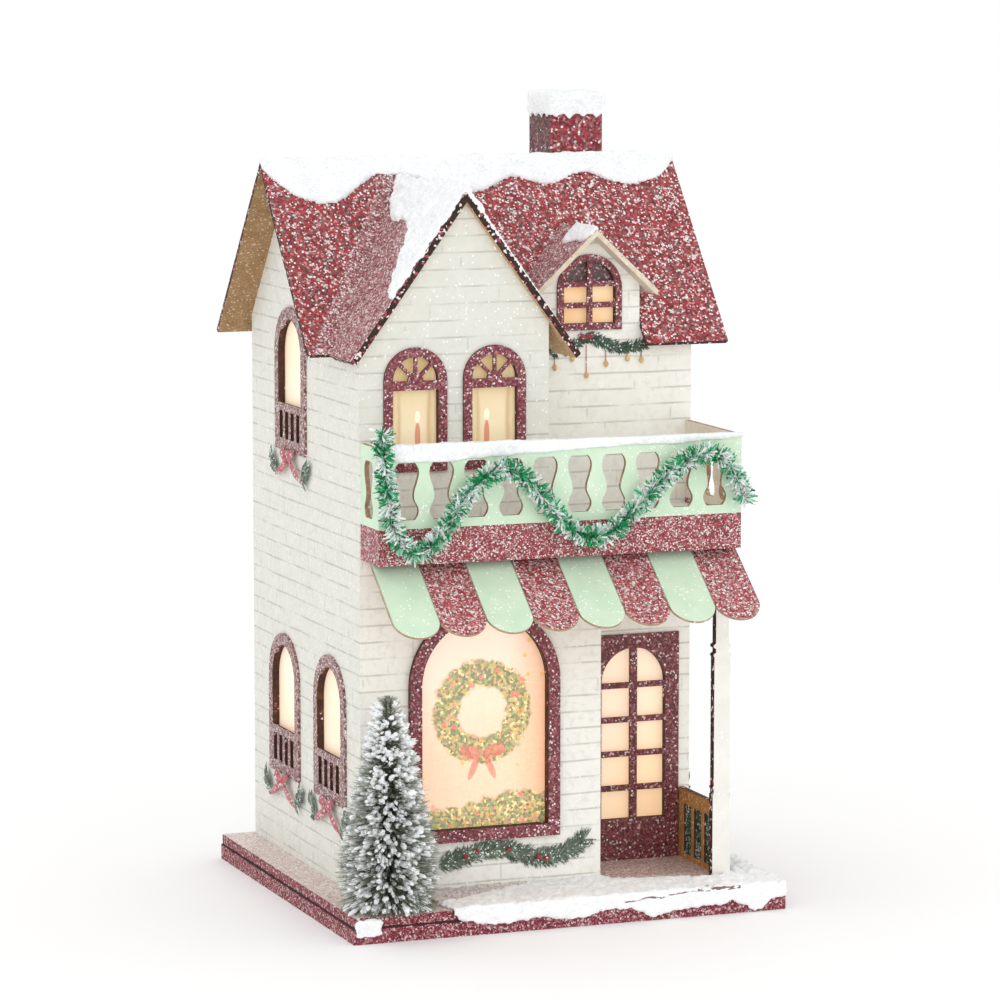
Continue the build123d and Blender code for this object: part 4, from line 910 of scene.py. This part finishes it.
def buildTree(spec, flock):
    rng = random.Random(23)
    low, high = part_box("tree_brush")
    high.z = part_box("tree_wire")[1].z
    axis = (low + high) / 2
    radius = (high.x - low.x) / 2
    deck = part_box("base_deck")[1].z
    ends = []

    def addBristle(chunk, index):
        share = (index + rng.random()) / spec["bristles"]
        share = 1 - (1 - share) ** spec["crowding"]
        reach = treeReach(share, radius) * rng.uniform(*spec["uneven"])
        turn = rng.uniform(0, 2 * math.pi)
        lift = rng.uniform(spec["lift"][0], spec["lift"][1] + spec["liftMore"] * share)
        lift += spec["steepBy"] * max(0, share - spec["steep"]) / (1 - spec["steep"])
        lift = math.radians(lift - spec["droopBy"] * max(0, 1 - share / spec["droop"]))
        out = Vector((math.cos(turn) * math.cos(lift), math.sin(turn) * math.cos(lift), math.sin(lift)))
        inset = spec["ends"] * mm
        root = Vector((axis.x, axis.y, low.z + inset + (high.z - low.z - 2 * inset) * share))
        end = root + out * reach * (1 + spec["longer"] * abs(math.sin(lift)))
        end.z = min(max(end.z, deck + spec["foot"] * mm), high.z - spec["head"] * mm)
        way = end - root
        bmesh.ops.create_cone(chunk, cap_ends=True, segments=3, radius1=spec["bristle"] * mm,
                              radius2=spec["tip"] * mm, depth=way.length, matrix=pointed((root + end) / 2, way))
        ends.append((root, end))

    def bare(end):
        patch = noise.noise(end / (flock["patch"] * mm))
        return patch < flock["bare"] or end.z > high.z - flock["head"] * mm

    def addClump(chunk, index):
        root, end = rng.choice(ends)
        while bare(end):
            root, end = rng.choice(ends)
        at = root.lerp(end, rng.uniform(*flock["at"]))
        size = rng.uniform(*flock["size"]) * mm
        squash = [rng.uniform(*flock[key]) for key in ("girth", "girth", "length")]
        place = pointed(at, end - root) @ Matrix.Diagonal((*squash, 1))
        ball = bmesh.ops.create_icosphere(chunk, subdivisions=1, radius=size, matrix=place)
        for vert in ball["verts"]:
            lump = noise.noise(vert.co / (flock["lump"] * mm))
            vert.co += (vert.co - at) * lump * flock["rough"]
        paintFaces(ball["verts"], 1)

    whole = bmesh.new()
    inBatches(whole, spec["bristles"], addBristle)
    inBatches(whole, flock["clumps"], addClump)
    materials = [bristleMaterial(axis, low.z, high.z, radius), snowPaste]
    addPiece("treeBristles", whole, materials, "tree_bristle", "tree_brush")


buildTree(treeSpec, flockSpec)

# paper trims: leaves, ribbons and berries set on a wall, in mm
trimSpec = dict(paper=0.2, needleWidth=(0.5, 0.85), needleTurn=(0.3, 1.1), needleLift=(0.1, 0.9))


def wallPlace(origin, out):
    out = Vector(out)
    up = Vector((0, 0, 1))
    return Matrix.Translation(origin) @ Matrix((up.cross(out), up, out)).transposed().to_4x4()


def addLeaf(bm, place, length, width, slot, teeth=0, arch=0.25):
    made = bmesh.ops.create_grid(bm, x_segments=8, y_segments=2, size=0.5)
    for vert in made["verts"]:
        share = vert.co.x + 0.5
        girth = max(0.05, math.sin(math.pi * share ** 0.85))
        if teeth:
            girth *= 0.72 + 0.28 * math.cos(2 * math.pi * teeth * share)
        side = vert.co.y * 2
        vert.co = (share * length, side * girth * width / 2,
                   arch * width * math.sin(math.pi * share) * (1 - abs(side) * 0.7))
    bmesh.ops.transform(bm, matrix=place, verts=made["verts"])
    paintFaces(made["verts"], slot)


def thicken(bm):
    bmesh.ops.recalc_face_normals(bm, faces=bm.faces)
    bmesh.ops.solidify(bm, geom=bm.faces, thickness=trimSpec["paper"] * mm)


def addBall(bm, at, radius, slot, stretch=1.0):
    place = Matrix.Translation(at) @ Matrix.Diagonal((1, stretch, 1, 1))
    made = bmesh.ops.create_icosphere(bm, subdivisions=2, radius=radius, matrix=place)
    paintFaces(made["verts"], slot)


def trimMaterial(name, tones, dot=None, frost=0.0):
    material, place = startMaterial(name)
    tint = place.cloud(2.2, 3.0).tones(*tones)
    if frost:
        tint = (place.specks(0.5)[1] > 1 - frost).blend(tint, "E9EFEA")
    if dot:
        tint = (1 - place.specks(1.4)[0].rise(0.25, 0.4)).blend(tint, dot)
    return shaded(material, {"Base Color": tint, "Roughness": 0.6,
        "Normal": bumped(place, place.cloud(0.7), 0.2, 0.2 * mm)})


leafGreen, leafGrey, ribbonPink, berryRed, dropGold, leafDark = range(6)  # slots in trimMaterials
trimMaterials = [
    trimMaterial("leafGreen", ("36443A", "68765F"), frost=0.06),
    trimMaterial("leafGrey", ("4E5F54", "8C9A8A"), frost=0.1),
    trimMaterial("ribbonPink", ("A8505C", "C47A80"), dot="EAD6D4"),
    trimMaterial("berryRed", ("8A2A34", "AE4450"), frost=0.05),
    trimMaterial("dropGold", ("CC9A5C", "EAC88E")),
    trimMaterial("leafDark", ("223A2E", "40604C"), frost=0.06)]


def turned(at, angle, lift=0.0):
    return Matrix.Translation(Vector((at[0], at[1], lift)) * mm) @ Matrix.Rotation(angle, 4, "Z")


# swags under the side windows; a ribbon is its turn, lift, length, width and arch
swagSpec = dict(
    below=3.2, leaves=18, start=14, run=6.0, low=-5.5, rise=4.5, stray=1, turn=0.9, fan=0.8, lift=(0.2, 0.6),
    length=(4.5, 6.5), width=(1.8, 2.8), knot=1.5, ribbons=((0.5, 0.9, 8.5, 5.0, 0.35),
    (-0.42, 0.7, 17.5, 3.4, 0.25)))


def swagMesh(rng, spec):
    bm = bmesh.new()
    stray, sway = spec["stray"], spec["turn"]
    for side in (-1, 1):
        base = 0 if side > 0 else math.pi
        for index in range(spec["leaves"]):
            share = index / (spec["leaves"] - 1)
            at = (side * (spec["start"] + share * spec["run"]),
                  spec["low"] + share * spec["rise"] + rng.uniform(-stray, stray))
            heading = base + side * (rng.uniform(-sway, sway) + share * spec["fan"])
            addLeaf(bm, turned(at, heading, rng.uniform(*spec["lift"])), rng.uniform(*spec["length"]) * mm,
                    rng.uniform(*spec["width"]) * mm, rng.choice((leafGreen, leafGrey, leafGrey)), teeth=3)
        for turn, lift, length, width, arch in spec["ribbons"]:
            addLeaf(bm, turned((0, 0), base + side * turn, lift), length * mm, width * mm, ribbonPink, arch=arch)
    thicken(bm)
    addBall(bm, Vector((0, 0, 1.2)) * mm, spec["knot"] * mm, ribbonPink)
    return bm


def buildSwags():
    rng = random.Random(5)
    whole = bmesh.new()
    faces = {"left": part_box("left_window_frames")[0].x, "right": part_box("right_window_frames")[1].x}
    for side, face in faces.items():
        for across, sill in sideSpec[side]:
            chunk = swagMesh(rng, swagSpec)
            place = wallPlace((face, across * mm, (sill - swagSpec["below"]) * mm), ways[side])
            bmesh.ops.transform(chunk, matrix=place, verts=chunk.verts)
            gather(whole, chunk)
    addPiece("windowSwags", whole, trimMaterials, "paper_trim", "side_window_swags")


buildSwags()


# garlands: needles along a line on the wall, with berries or hanging drops
def needleBand(rng, spec):
    line = smoothRoute([(x * mm, z * mm, 0.0) for x, z in spec["line"]])
    bm = bmesh.new()
    for index in range(spec["needles"]):
        at, way = alongLine(line, (index + rng.random()) / spec["needles"])
        heading = math.atan2(way.y, way.x) + rng.choice((-1, 1)) * rng.uniform(*trimSpec["needleTurn"])
        lifted = at + Vector((0, 0, rng.uniform(*trimSpec["needleLift"]) * mm))
        place = Matrix.Translation(lifted) @ Matrix.Rotation(heading, 4, "Z")
        addLeaf(bm, place, rng.uniform(*spec["reach"]) * mm, rng.uniform(*trimSpec["needleWidth"]) * mm,
                rng.choice(spec["leaves"]))
    thicken(bm)
    return bm


def hangGarland(name, bm, spec, wall, replaced):
    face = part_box(wall)[0].y
    place = wallPlace((spec["centre"] * mm, face, spec["level"] * mm), ways["front"])
    bmesh.ops.transform(bm, matrix=place, verts=bm.verts)
    addPiece(name, bm, trimMaterials, "paper_trim", replaced)


windowSpec = dict(
    line=((-41.4, -2.0), (-32.0, 0.5), (-22.0, 3.4), (-12.0, 1.8), (-2.0, -2.6), (8.0, -1.8), (16.6, 3.6)),
    centre=0.0, level=21.7, needles=800, reach=(3.8, 5.6), leaves=(leafGreen, leafGreen, leafGrey),
    berry=(0.9, 1.2), berries=((-31.0, 1.0), (-26.5, 2.6), (-2.0, -1.2), (1.2, -2.2), (-14.0, 2.2)))


def buildWindowGarland(spec):
    rng = random.Random(7)
    bm = needleBand(rng, spec)
    for x, z in spec["berries"]:
        addBall(bm, Vector((x, z, 1.3)) * mm, rng.uniform(*spec["berry"]) * mm, berryRed)
    hangGarland("windowGarland", bm, spec, "bay_front_wall", "window_garland")


buildWindowGarland(windowSpec)

# each drop is its place and how far it hangs
dormerSpec = dict(
    line=((-22.0, -4.5), (-14.4, -7.4), (-6.0, -4.0), (0.0, 0.0), (6.0, -4.0), (14.4, -6.4), (22.0, -4.4)),
    centre=29.7, level=211.8, needles=360, reach=(2.4, 3.8), leaves=(leafDark, leafDark, leafGreen),
    bow=(-1.5, -1.5), loop=(3.6, 2.0), string=0.14, stringTop=-4.0, dropTop=-6.0, drop=0.9, drops=((-13.9, 6.2),
    (-7.0, 3.0), (-1.2, 9.4), (6.7, 5.4), (15.4, 3.6), (21.1, 4.4)))


def buildDormerGarland(spec):
    bm = needleBand(random.Random(9), spec)
    length, width = spec["loop"]
    for side in (-1, 1):
        loop = bmesh.new()
        heading = (0 if side > 0 else math.pi) + side * 0.4
        addLeaf(loop, turned(spec["bow"], heading, 1.0), length * mm, width * mm, berryRed, arch=0.35)
        thicken(loop)
        gather(bm, loop)
    for x, hang in spec["drops"]:
        top, foot = spec["stringTop"], spec["dropTop"] - hang
        place = Matrix.Translation(Vector((x, (foot + top) / 2, 0.4)) * mm) @ Matrix.Rotation(math.pi / 2, 4, "X")
        addRod(bm, place, spec["string"] * mm, (top - foot) * mm, berryRed)
        addBall(bm, Vector((x, foot, 0.8)) * mm, spec["drop"] * mm, dropGold, stretch=1.4)
    hangGarland("dormerGarland", bm, spec, "door_wall", "dormer_garland")


buildDormerGarland(dormerSpec)

# stage, light and camera
stageSpec = dict(
    floor=40.0, sky=1.03, key=(-0.9, -1.7, 0.8), keyPower=4.0, keySize=1.2, fill=(0.5, -1.8, 0.2), fillPower=4.0,
    fillSize=1.4, aim=(0, 0, 0.14))


def buildStage(spec):
    bm = bmesh.new()
    bmesh.ops.create_grid(bm, x_segments=2, y_segments=2, size=spec["floor"])
    floor = addObject("floor", meshFrom("floor", bm))
    floor.data.materials.append(plainMaterial("paleFloor", ("FBFBFB", "FFFFFF"), 500, {"Roughness": 0.9}))
    world = bpy.data.worlds.new("studio")
    world.use_nodes = True
    sky = world.node_tree.nodes["Background"].inputs
    sky["Color"].default_value = (1.0, 1.0, 1.0, 1.0)
    sky["Strength"].default_value = spec["sky"]
    bpy.context.scene.world = world
    for name in ("key", "fill"):
        lamp = bpy.data.lights.new(name + "Light", "AREA")
        lamp.energy = spec[name + "Power"]
        lamp.size = spec[name + "Size"]
        holder = addObject(name + "Light", lamp)
        holder.location = spec[name]
        aim = Vector(spec["aim"]) - Vector(spec[name])
        holder.rotation_euler = aim.to_track_quat("-Z", "Y").to_euler()


buildStage(stageSpec)
cameraSpec = dict(place=(-0.58871, -1.55600, 0.36369), tilt=-0.12897, turn=-0.36262, lens=159.4)
camera = addObject("camera", bpy.data.cameras.new("camera"))
camera.data.lens = cameraSpec["lens"]
camera.location = cameraSpec["place"]
camera.rotation_euler = (math.pi / 2 + cameraSpec["tilt"], 0.0, cameraSpec["turn"])
bpy.context.scene.camera = camera
bpy.context.scene.view_settings.view_transform = "Standard"
